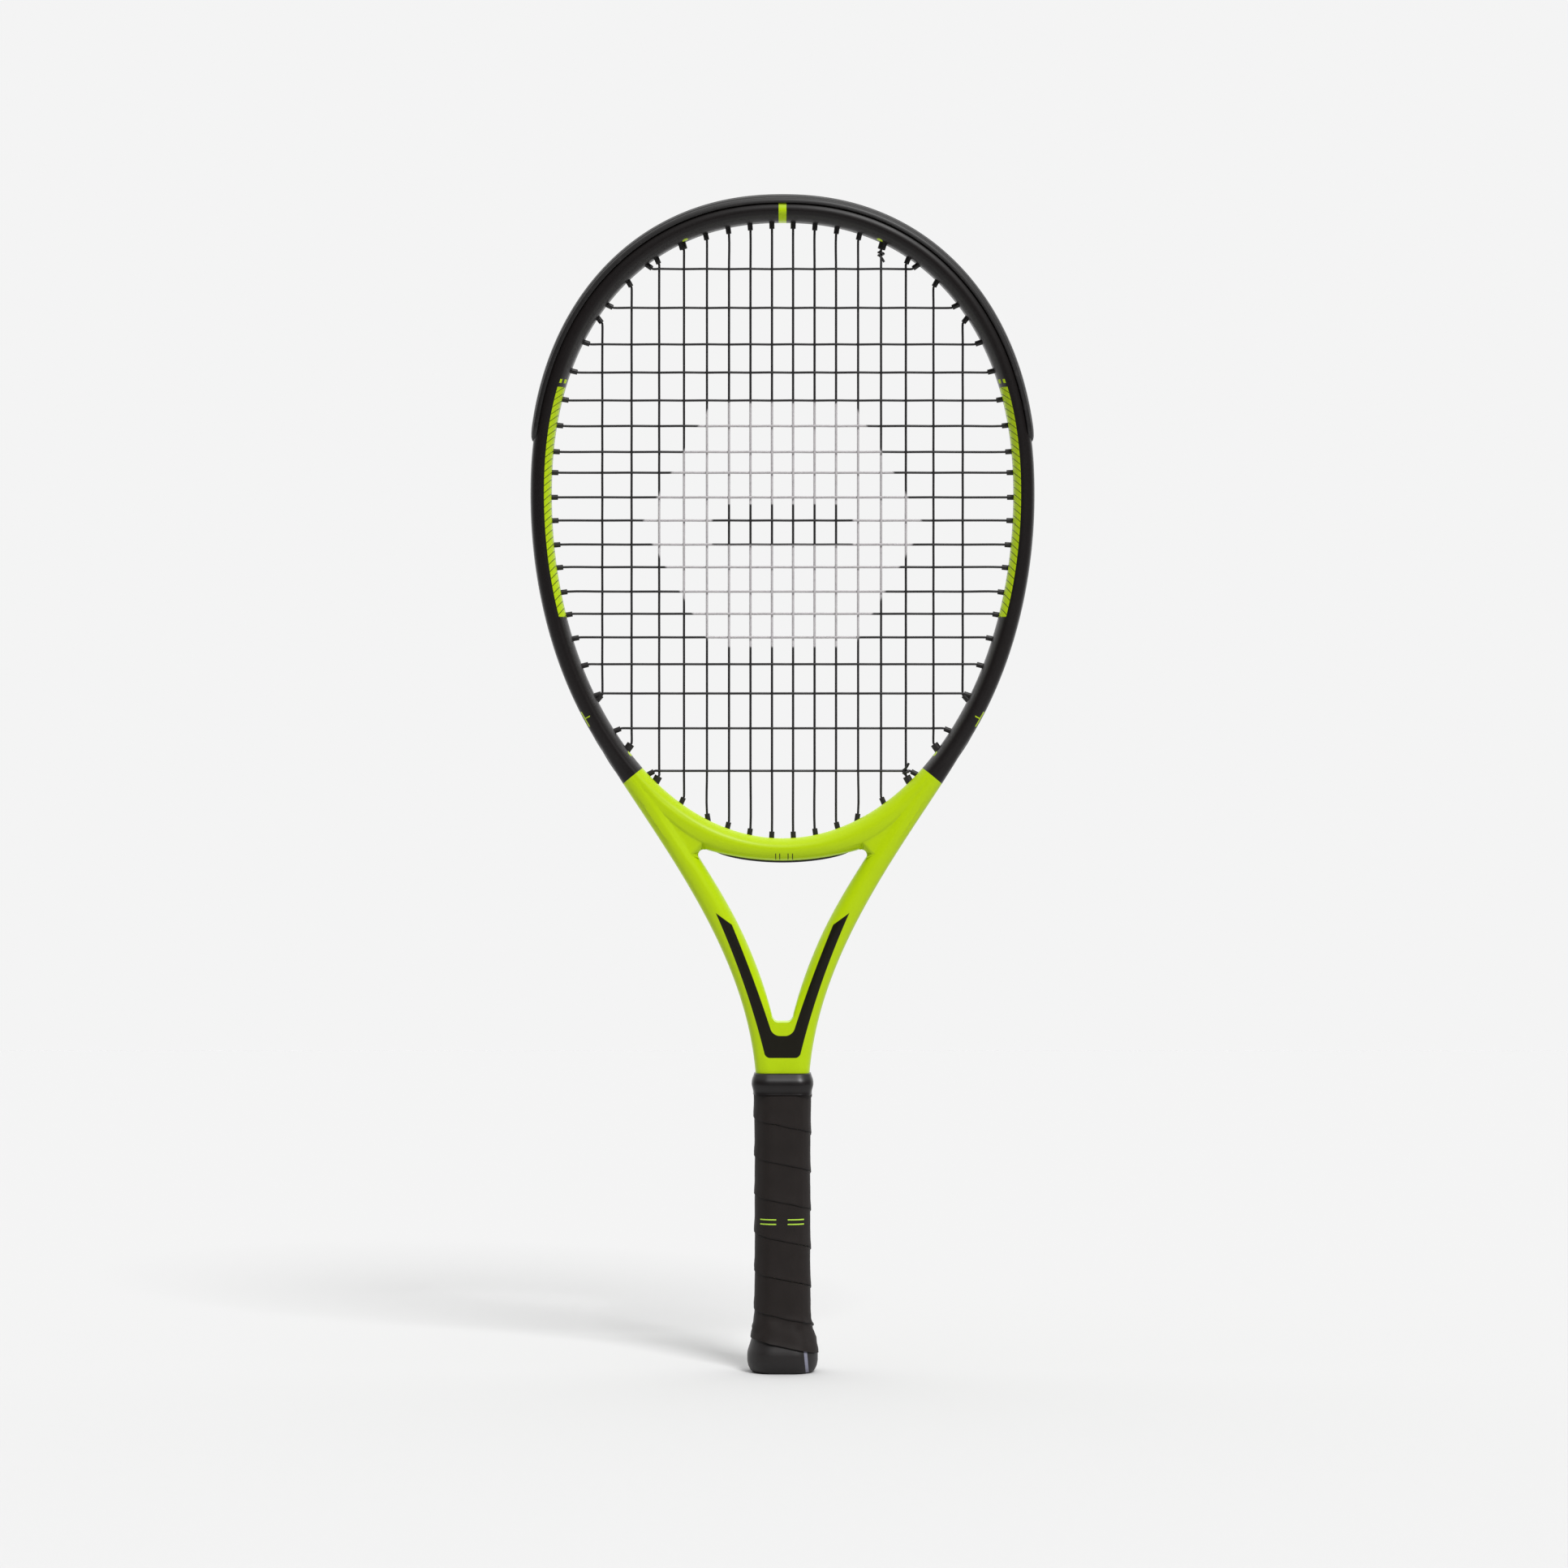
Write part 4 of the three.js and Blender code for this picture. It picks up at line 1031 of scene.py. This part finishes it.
# ---- string -------------------------------------------------------------------------------
# One black polyester string, 1.3 mm thick and 10.55 m long: 16 mains and 19 crosses, woven
# over and under, tied off twice. It turns round the outside of the rim in the channel. A pale
# hexagon with a slot is stencilled on the bed.
STRING_RADIUS = 0.65
STRING_LEVEL = STRIP_FACE + STRING_RADIUS + 0.12
WEAVE = 1.36
LANE = 1.4
TIE_SPREAD = 0.72
TURN = 1.7
BULGE_END = math.radians(-62)
EIGHT_MEAN_RADII = 1150.0
SHARP_BEND = math.radians(9)
BEND_REACH = 0.7
HOLE_DIP = 0.3
SHORT_RUN = 12.0


def level_point(hole, y, raised=0.0):
    """Where the string passes above the channel's floor, outside a hole."""
    return hole.at(hole.outer + STRING_LEVEL + raised, y)


def middle_of_run(start, stop, lane, length):
    """Halfway between two holes, bowed outwards with the channel."""
    angle = (start.angle + stop.angle) / 2
    if min(start.angle, stop.angle) > ARM_START and start.side == stop.side:
        return level_point(Hole(start.side, angle, hoop_normal), lane, 0.15)
    bulge = length ** 2 / EIGHT_MEAN_RADII if angle > BULGE_END else 0
    axis = (start.axis + stop.axis).normalized()
    halfway = (level_point(start, lane) + level_point(stop, lane)) / 2
    return halfway + Vector((start.side * axis.x, 0, axis.y)) * bulge


def towards(start, stop, distance):
    return (stop - start).normalized() * distance


def channel_run(start, stop, lane, y_start=0.0, y_stop=0.0, raised=0.0, via=()):
    """Out of one hole, along the channel in a lane, and into the next hole."""
    first = level_point(start, y_start, raised - HOLE_DIP)
    last = level_point(stop, y_stop, raised - HOLE_DIP)
    last_lane = via[-1][1] if via else lane
    between = [level_point(Hole(start.side, angle, hoop_normal), y, raised) for angle, y in via]
    length = (last - first).length
    if not via and length > SHORT_RUN:
        between.append(middle_of_run(start, stop, lane, length))
    leaving = level_point(start, 0, raised) + towards(first, between[0] if between else last, TURN)
    entering = level_point(stop, 0, raised) + towards(last, between[-1] if between else first, TURN)
    leaving.y = lane
    entering.y = last_lane
    return [first, leaving, *between, entering, last]


def barrel_end(hole, y=0.0):
    return hole.at(-STRING_BEND, y)


def knot_turns(x, z, upwards):
    """The free end: one and a half turns round the main beside it, then a short tail."""
    radius = 2 * STRING_RADIUS + 0.12
    points = []
    for i in range(1, 12):
        turn = QUARTER + i * math.pi / 4
        y = radius * math.sin(turn) - TIE_SPREAD
        points.append(Vector((x + radius * math.cos(turn), y, z + upwards * i * 0.2)))
    end = points[-1]
    points.append(end + Vector((1.3, -0.5, upwards * 1.3)))
    points.append(end + Vector((2.6, -0.7, upwards * 3.6)))
    return points


def is_shared(hole):
    """Whether a tied-off end of the string shares this hole."""
    tied = (top_angles[FIRST_TIED], bottom_angles[LAST_TIED])
    return hole.side > 0 and hole.angle in tied


def beside_knot(hole, x):
    """Where a main that shares its hole passes the knot."""
    inwards = -1 if hole.angle > 0 else 1
    end = barrel_end(hole)
    return Vector((x, -TIE_SPREAD, end.z + inwards * 3.4))


def weave_height(k, side, i):
    """Half the weave: how far cross k stands off the middle plane where it passes a main."""
    column = i + 1 if side > 0 else -i
    return WEAVE / 2 if (k + column) % 2 == 0 else -WEAVE / 2


def is_crossed(k, i):
    top = barrel_end(main_top(1, i)).z - 1
    bottom = barrel_end(main_bottom(1, i)).z + 1
    return bottom < CROSSES_Z[k] < top


def main_run(side, i, downwards):
    top, bottom = main_top(side, i), main_bottom(side, i)
    x = side * MAINS_X[i]
    points = [barrel_end(top, -TIE_SPREAD if is_shared(top) else 0)]
    if is_shared(top):
        points.append(beside_knot(top, x))
    for k in range(len(CROSSES_Z)):
        if is_crossed(k, i):
            points.append(Vector((x, -weave_height(k, side, i), CROSSES_Z[k])))
    if is_shared(bottom):
        points.append(beside_knot(bottom, x))
    points.append(barrel_end(bottom, -TIE_SPREAD if is_shared(bottom) else 0))
    return points if downwards else points[::-1]


def cross_run(k, side):
    crossed = [i for i in range(len(MAINS_X)) if is_crossed(k, i)]
    spots = [(-side, i) for i in reversed(crossed)] + [(side, i) for i in crossed]
    woven = [Vector((s * MAINS_X[i], weave_height(k, s, i), CROSSES_Z[k])) for s, i in spots]
    return [barrel_end(cross_end(-side, k)), *woven, barrel_end(cross_end(side, k))]


def string_route():
    last = len(MAINS_X) - 1

    # tied off at right main 5, then along the channel to right main 8
    tie_top = main_top(1, FIRST_TIED)
    tie_top_end = barrel_end(tie_top, TIE_SPREAD)
    outermost = main_top(1, last)
    over = [(lerp(tie_top.angle, outermost.angle, i / 5), 0) for i in range(1, 5)]
    points = knot_turns(MAINS_X[FIRST_TIED], tie_top_end.z - 0.8, -1)[::-1] + [tie_top_end]
    points += channel_run(tie_top, outermost, 0.5, y_start=TIE_SPREAD, raised=1.45, via=over)

    # the mains in turn from right 8 to left 8, joined below, then above, then below
    order = [(1, i) for i in range(last, -1, -1)] + [(-1, i) for i in range(last + 1)]
    for turn, (side, i) in enumerate(order):
        downwards = turn % 2 == 0
        points += main_run(side, i, downwards)
        if turn + 1 < len(order):
            far = main_bottom if downwards else main_top
            start, stop = far(side, i), far(*order[turn + 1])
            y_start = -TIE_SPREAD if is_shared(start) else 0
            y_stop = -TIE_SPREAD if is_shared(stop) else 0
            points += channel_run(start, stop, -LANE, y_start, y_stop)

    # over to the top cross on the left, changing lanes between cross 2 and main 7
    via = [(cross_angles[1] + 0.015, -LANE), (top_angles[6] - 0.015, LANE)]
    points += channel_run(main_top(-1, last), cross_end(-1, 0), -LANE, via=via)

    # the crosses from the top down, the odd ones left to right
    for k in range(len(CROSSES_Z)):
        side = 1 if k % 2 == 0 else -1
        points += cross_run(k, side)
        if k + 1 < len(CROSSES_Z):
            points += channel_run(cross_end(side, k), cross_end(side, k + 1), LANE)

    # tied off at right main 6 below
    tie_bottom = main_bottom(1, LAST_TIED)
    tie_end = barrel_end(tie_bottom, TIE_SPREAD)
    lowest = cross_end(1, len(CROSSES_Z) - 1)
    points += channel_run(lowest, tie_bottom, LANE, y_stop=TIE_SPREAD)
    return points + [tie_end] + knot_turns(MAINS_X[LAST_TIED], tie_end.z + 0.8, 1)


def make_string():
    line = bpy.data.curves.new("string_bed", "CURVE")
    line.dimensions = "3D"
    line.bevel_depth = STRING_RADIUS * MM
    line.bevel_resolution = 2
    line.resolution_u = 4
    line.use_fill_caps = True
    spline = line.splines.new("BEZIER")
    route = string_route()
    spline.bezier_points.add(len(route) - 1)
    ends = [route[0], *route, route[-1]]
    for knot, before, here, after in zip(spline.bezier_points, ends, route, ends[2:]):
        knot.co = here * MM
        arriving, leaving = here - before, after - here
        spans = [span.length for span in (arriving, leaving) if span.length > 0]
        is_bent = len(spans) == 2 and arriving.angle(leaving) > SHARP_BEND
        reach = min(BEND_REACH if is_bent else math.inf, min(spans) * 0.35)
        along = (arriving.normalized() + leaving.normalized()).normalized() * reach
        knot.handle_left = (here - along) * MM
        knot.handle_right = (here + along) * MM
    piece = bpy.data.objects.new("string_bed", line)
    scene.collection.objects.link(piece)
    select_only(piece)
    bpy.ops.object.convert(target="MESH")
    piece = bpy.context.object
    close_up(piece)
    smooth_faces(piece, 60)
    return piece


string_bed = make_string()

STENCIL_Z = 457.0
STENCIL_REACH = 66.0
SLOT_HALF_HEIGHT = 11.0
SLOT_HALF_WIDTH = 38.0

polyester, shade = new_material("string_polyester")
x, y, z = places_in_mm(shade)
across = abs(x)
upwards = abs(z - STENCIL_Z)
slanted = across * math.sin(math.pi / 3) + upwards * math.cos(math.pi / 3)
hexagon = 1 - slanted.most(upwards).above(STENCIL_REACH, 0.8)
slot = (1 - upwards.above(SLOT_HALF_HEIGHT, 0.6)) * (1 - across.above(SLOT_HALF_WIDTH, 0.8))
stencil = hexagon * (1 - slot)
worn = grain(shade, 700, 4.0, 0.7)
ink = stencil * (0.8 + 0.2 * worn.above(0.42, 0.1))
finish(polyester, {
    "Base Color": ink.mix((0.012, 0.011, 0.012, 1), (0.46, 0.44, 0.45, 1)),
    "Roughness": 0.36 + 0.25 * ink + 0.1 * worn,
    "Specular IOR Level": 0.4,
    "Normal": bump(shade, worn, 0.02, 0.4),
})
fit(string_bed, polyester, "string_black", "string")

# ---- grip tape ----------------------------------------------------------------------------
# A strip of dark synthetic leather wound up the handle from the butt, each turn lapped over
# the one below. It flares out over the butt cap. Two pairs of lime dashes are printed on it.
GRIP_TOP = 149.4
GRIP_FOOT = 15.15
GRIP_FOOT_TILT = 0.223
DEPTH_LESS = 1.35
WRAP_PITCH = 20.6
WRAP_SEAM = 133.0
WRAP_LAP = 0.5
FIRST_TURN = -1.85
LAST_TURN = 6.95
AROUND_GRIP = 92
CORNER_CUT = 0.26
NOISE_SIZE = 15.0
GRIP_PROFILE = [(9, 19.5), (11.8, 19.3), (13.9, 18.85), (17.3, 17.95), (21, 16.85), (25, 15.8),
                (30, 15.1), (60, 14.9), (120, 14.95), (138, 15.2), (149.3, 15.45), (160, 15.5)]
HANDLE_CORNERS = [(0.58, -1), (1, -0.5), (1, 0.5), (0.58, 1), (-0.58, 1), (-1, 0.5),
                  (-1, -0.5), (-0.58, -1)]


def handle_outline(cut, steps=5):
    """The eight-sided handle of half-size 1, from the middle of the front towards +X."""
    corners = [(0, -1, 0)] + [(x, y, cut) for x, y in HANDLE_CORNERS]
    return rounded(corners, steps)


def round_outline(outline, v):
    """The place on a closed outline at share v of the way round."""
    ring = outline + outline[:1]
    spans = [(b - a).length for a, b in zip(ring, ring[1:])]
    wanted = (v % 1) * sum(spans)
    for a, b, span in zip(ring, ring[1:], spans):
        if wanted <= span and span > 0:
            return a.lerp(b, wanted / span)
        wanted -= span
    return ring[-1]


def profile_at(profile, z):
    """The size at a height, from a list of heights and sizes."""
    for (z0, size0), (z1, size1) in zip(profile, profile[1:]):
        if z <= z1:
            return lerp(size0, size1, max(z - z0, 0) / (z1 - z0))
    return profile[-1][1]


def soft_profile(profile, z, blur=1.6):
    """The same, averaged over a little height so that its corners are soft."""
    samples = [profile_at(profile, z + blur * (k / 3 - 1)) for k in range(7)]
    return sum(samples) / len(samples)


def make_grip():
    """A helical strip. Its rows give how far up the strip they are and how far they stand out:
    the lower edge steps up over the turn below, and the rest sinks back to the handle."""
    around = AROUND_GRIP
    steps = round((LAST_TURN - FIRST_TURN) * around)
    outline = [round_outline(handle_outline(CORNER_CUT), i / around) for i in range(around)]
    rows = [(0, 0.0), (0.006, 0.75), (0.022, 1.0)]
    rows += [(t, 1 - 0.55 * smooth(t, 0, 0.3) - 0.45 * t) for t in (0.06, 0.12, 0.2, 0.3, 0.42)]
    rows += [(t, 0.45 - 0.45 * t) for t in (0.55, 0.7, 0.85, 0.95, 1.0)]

    def place(u, v):
        turn = lerp(FIRST_TURN, LAST_TURN, round(u * steps) / steps)
        t, lap = rows[round(v * (len(rows) - 1))]
        x, y = outline[round(turn * around) % around]
        z = WRAP_SEAM - WRAP_PITCH * turn + WRAP_PITCH * t
        here = Vector((x * NOISE_SIZE, y * NOISE_SIZE, z))
        crease = noise.noise(here * 0.16) * 0.16 + noise.noise(here * 0.5) * 0.05
        waver = 0.35 * noise.noise(Vector((x * 2.2, y * 2.2, round(turn) * 3.1)))
        fold = noise.noise(Vector((x * 2.1, y * 2.1 + 9, z * 0.42 + x * 0.6)))
        crease += fold * 1.2 * smooth(z, 13, 18) * (1 - smooth(z, 25, 34))
        size = soft_profile(GRIP_PROFILE, z) + WRAP_LAP * lap + crease * (1 if 0 < t < 1 else 0.5)
        z += waver * (1 - t)
        return x * size, y * (size - DEPTH_LESS), z

    def lay(u, v):
        return u, rows[round(v * (len(rows) - 1))][0]

    return rolled("grip_wrap", steps, len(rows) - 1, place, lay, caps=False)


def cut_off(piece, place, normal):
    """Cuts away what lies beyond a plane and closes the cut."""
    select_only(piece)
    bpy.ops.object.mode_set(mode="EDIT")
    bpy.ops.mesh.select_all(action="SELECT")
    bpy.ops.mesh.bisect(
        plane_co=Vector(place) * MM, plane_no=normal, use_fill=True, clear_outer=True
    )
    bpy.ops.object.mode_set(mode="OBJECT")


grip_wrap = make_grip()
cut_off(grip_wrap, (0, 0, GRIP_TOP), (0, 0, 1))
cut_off(grip_wrap, (0, 0, GRIP_FOOT), (-GRIP_FOOT_TILT, 0, -1))
close_up(grip_wrap, caps=False)
smooth_faces(grip_wrap, 40)

LOWER_DASH = 80.15
UPPER_DASH = 82.6
DASH = 0.65

leather, shade = new_material("grip_leather")
x, y, z = places_in_mm(shade)
height_in_turn = up_the_pattern(shade)
# painted shadow: a thin dark line along the lower edge of each turn, where the step over the turn below
# would lie in shade
painted_seam_shadow = 1 - height_in_turn.above(0.014, 0.012)
cloudy = grain(shade, 70, 5.0, 0.65)
pores = grain(shade, 2600, 3.0, 0.6)
creases = grain(shade, 240, 6.0, 0.7)
beside_middle = x.within(-12.0, -3.4) + x.within(2.8, 11.5)
two_lines = z.within(UPPER_DASH, UPPER_DASH + DASH, 0.06) + z.within(LOWER_DASH, LOWER_DASH + DASH, 0.06)
dashes = two_lines * beside_middle * (1 - y.above(0))
hide = cloudy.mix((0.0085, 0.0062, 0.0055, 1), (0.0190, 0.0148, 0.0135, 1))
hide = painted_seam_shadow.mix(hide, (0.003, 0.0025, 0.0025, 1))
relief = 0.55 * pores + 0.45 * creases
finish(leather, {
    "Base Color": dashes.mix(hide, (0.42, 0.66, 0.06, 1)),
    "Roughness": 0.48 + 0.2 * cloudy + 0.1 * pores,
    "Specular IOR Level": 0.19,
    "Normal": bump(shade, relief, 0.10, 0.7),
})
fit(grip_wrap, leather, "grip_leather", "grip_tape")

# ---- butt cap -----------------------------------------------------------------------------
# A moulded plastic cap pushed over the end of the handle and stapled on. Its flange stops the
# hand, a badge is pressed into a round recess in its end, and a grey stripe runs up its front.
CAP_PROFILE = [(0.0, 15.7), (0.6, 16.6), (1.4, 17.35), (2.6, 18.05), (4.2, 18.65), (6.5, 19.05),
               (10.2, 19.05), (12.2, 18.55), (14.5, 17.75), (17.3, 16.95), (21, 15.8), (25, 14.7),
               (28, 14.3)]
AROUND_CAP = 88
BADGE_RECESS = 9.3
BADGE_DEPTH = 1.9


def stacked(name, outline, levels):
    """A filled outline drawn up and resized through levels of (z, half width, half depth)."""
    bpy.ops.object.select_all(action="DESELECT")
    bpy.ops.mesh.primitive_circle_add(vertices=len(outline), fill_type="NGON", radius=1)
    piece = bpy.context.object
    piece.name = name
    z, wide, deep = levels[0]
    for vertex, (x, y) in zip(piece.data.vertices, outline):
        vertex.co = Vector((x * wide, y * deep, z)) * MM
    bpy.ops.object.mode_set(mode="EDIT")
    bpy.ops.mesh.select_all(action="SELECT")
    for next_z, next_wide, next_deep in levels[1:]:
        bpy.ops.mesh.extrude_region_move(
            TRANSFORM_OT_translate={"value": (0, 0, (next_z - z) * MM)}
        )
        bpy.ops.transform.resize(
            value=(next_wide / wide, next_deep / deep, 1), center_override=(0, 0, next_z * MM)
        )
        z, wide, deep = next_z, next_wide, next_deep
    bpy.ops.object.mode_set(mode="OBJECT")
    close_up(piece, caps=False)
    return piece


def evenly(profile, count):
    """A profile's heights and softened sizes at equal steps."""
    low, high = profile[0][0], profile[-1][0]
    return [(lerp(low, high, i / count), soft_profile(profile, lerp(low, high, i / count), 0.5))
            for i in range(count + 1)]


outline = [round_outline(handle_outline(0.3), i / AROUND_CAP) for i in range(AROUND_CAP)]
levels = [(z, size, size - DEPTH_LESS) for z, size in evenly(CAP_PROFILE, 40)]
butt_cap = stacked("moulded_butt_cap", outline, levels)
bpy.ops.object.select_all(action="DESELECT")
bpy.ops.mesh.primitive_cylinder_add(
    vertices=64, radius=BADGE_RECESS * MM, depth=2 * BADGE_DEPTH * MM
)
recess = bpy.context.object
pressed = butt_cap.modifiers.new("recess", "BOOLEAN")
pressed.operation = "DIFFERENCE"
pressed.object = recess
pressed.solver = "EXACT"
apply_modifiers(butt_cap)
bpy.data.objects.remove(recess)
smooth_faces(butt_cap, 30)

cap_plastic, shade = new_material("cap_plastic")
x, y, z = places_in_mm(shade)
texture = grain(shade, 1500, 2.0)
haze = grain(shade, 60, 4.0, 0.6)
stripe = (x + 0.09 * (z - 6)).within(12.0, 13.7, 0.1) * z.within(0.7, 12.6, 0.15)
stripe = stripe * (1 - y.above(0))
black = haze.mix((0.006, 0.0045, 0.0045, 1), (0.012, 0.010, 0.010, 1))
finish(cap_plastic, {
    "Base Color": stripe.mix(black, (0.20, 0.20, 0.26, 1)),
    "Roughness": 0.42 + 0.12 * texture + 0.08 * haze,
    "Specular IOR Level": 0.4,
    "Normal": bump(shade, texture, 0.04, 0.6),
})
fit(butt_cap, cap_plastic, "cap_plastic", "butt_cap")

# ---- rubber collar ------------------------------------------------------------------------
# A stretchy moulded rubber sleeve rolled down over the top of the grip. Its bead grips the
# shaft, and its thin skirt covers the end of the tape.
COLLAR_LEVELS = [(149.35, 15.75, 14.3), (149.9, 16.0, 14.5), (150.5, 15.75, 14.2),
                 (151.8, 15.8, 14.15), (153.4, 16.25, 14.45), (154.9, 16.65, 14.6),
                 (156.4, 16.7, 14.45), (157.8, 16.45, 13.95), (159.1, 15.95, 13.2),
                 (160.2, 15.5, 12.5), (161.0, 15.3, 12.0), (161.5, 15.1, 11.6)]
SHAFT_CORNERS = [(0.64, -1), (0.93, -0.81), (1, -0.56), (1, 0.56), (0.93, 0.81), (0.64, 1),
                 (-0.64, 1), (-0.93, 0.81), (-1, 0.56), (-1, -0.56), (-0.93, -0.81), (-0.64, -1)]

corners = [(0, -1, 0)] + [(x, y, 0.14) for x, y in SHAFT_CORNERS]
outline = [round_outline(rounded(corners), i / AROUND_CAP) for i in range(AROUND_CAP)]
collar = stacked("collar", outline, COLLAR_LEVELS)
softening = collar.modifiers.new("softened", "SUBSURF")
softening.levels = 1
softening.render_levels = 1
apply_modifiers(collar)
smooth_faces(collar, 40)

rubber, shade = new_material("collar_rubber")
bloom = grain(shade, 150, 4.0, 0.6)
texture = grain(shade, 1800, 2.0)
finish(rubber, {
    "Base Color": bloom.mix((0.005, 0.004, 0.004, 1), (0.011, 0.009, 0.009, 1)),
    "Roughness": 0.26 + 0.14 * bloom + 0.06 * texture,
    "Specular IOR Level": 0.32,
    "Normal": bump(shade, texture, 0.02, 0.5),
})
fit(collar, rubber, "collar_rubber", "rubber_collar")

# ---- inside the handle --------------------------------------------------------------------
# Under the grip: two foam pallets glued round the shaft, four steel staples that hold the
# cap on, the vinyl tape that ends the grip, and the badge in the butt.


def cover(node, material):
    node.data.materials.clear()
    node.data.materials.append(material)


foam, shade = new_material("pallet_foam")
cells = grain(shade, 1800, 3.0, 0.6)
finish(foam, {
    "Base Color": cells.mix((0.52, 0.44, 0.28, 1), (0.70, 0.62, 0.44, 1)),
    "Roughness": 0.85 + 0.1 * cells,
    "Normal": bump(shade, cells, 0.15, 0.8),
})
steel, shade = new_material("staple_steel")
brushed = grain(shade, 3000, 2.0)
finish(steel, {
    "Base Color": brushed.mix((0.50, 0.50, 0.52, 1), (0.66, 0.66, 0.68, 1)),
    "Metallic": 1.0,
    "Roughness": 0.28 + 0.14 * brushed,
})
vinyl, shade = new_material("tape_vinyl")
stretch = grain(shade, 500, 3.0)
finish(vinyl, {
    "Base Color": stretch.mix((0.008, 0.008, 0.009, 1), (0.014, 0.014, 0.015, 1)),
    "Roughness": 0.3 + 0.12 * stretch,
    "Normal": bump(shade, stretch, 0.03, 0.5),
})
badge_paint, shade = new_material("badge_plastic")
x, y, z = places_in_mm(shade)
radius = (x * x + y * y) ** 0.5
rings = radius.within(6.4, 7.2, 0.1)
speck = grain(shade, 900, 2.0)
finish(badge_paint, {
    "Base Color": rings.mix((0.035, 0.035, 0.04, 1), (0.36, 0.56, 0.02, 1)),
    "Roughness": 0.3 + 0.1 * speck,
    "Normal": bump(shade, speck, 0.02, 0.5),
})
nodes = frame["nodes"]
cover(nodes["handle_pallet_front"], foam)
cover(nodes["handle_pallet_back"], foam)
cover(nodes["finishing_tape"], vinyl)
cover(nodes["butt_badge"], badge_paint)
for number in range(1, 5):
    cover(nodes[f"staple_{number}"], steel)
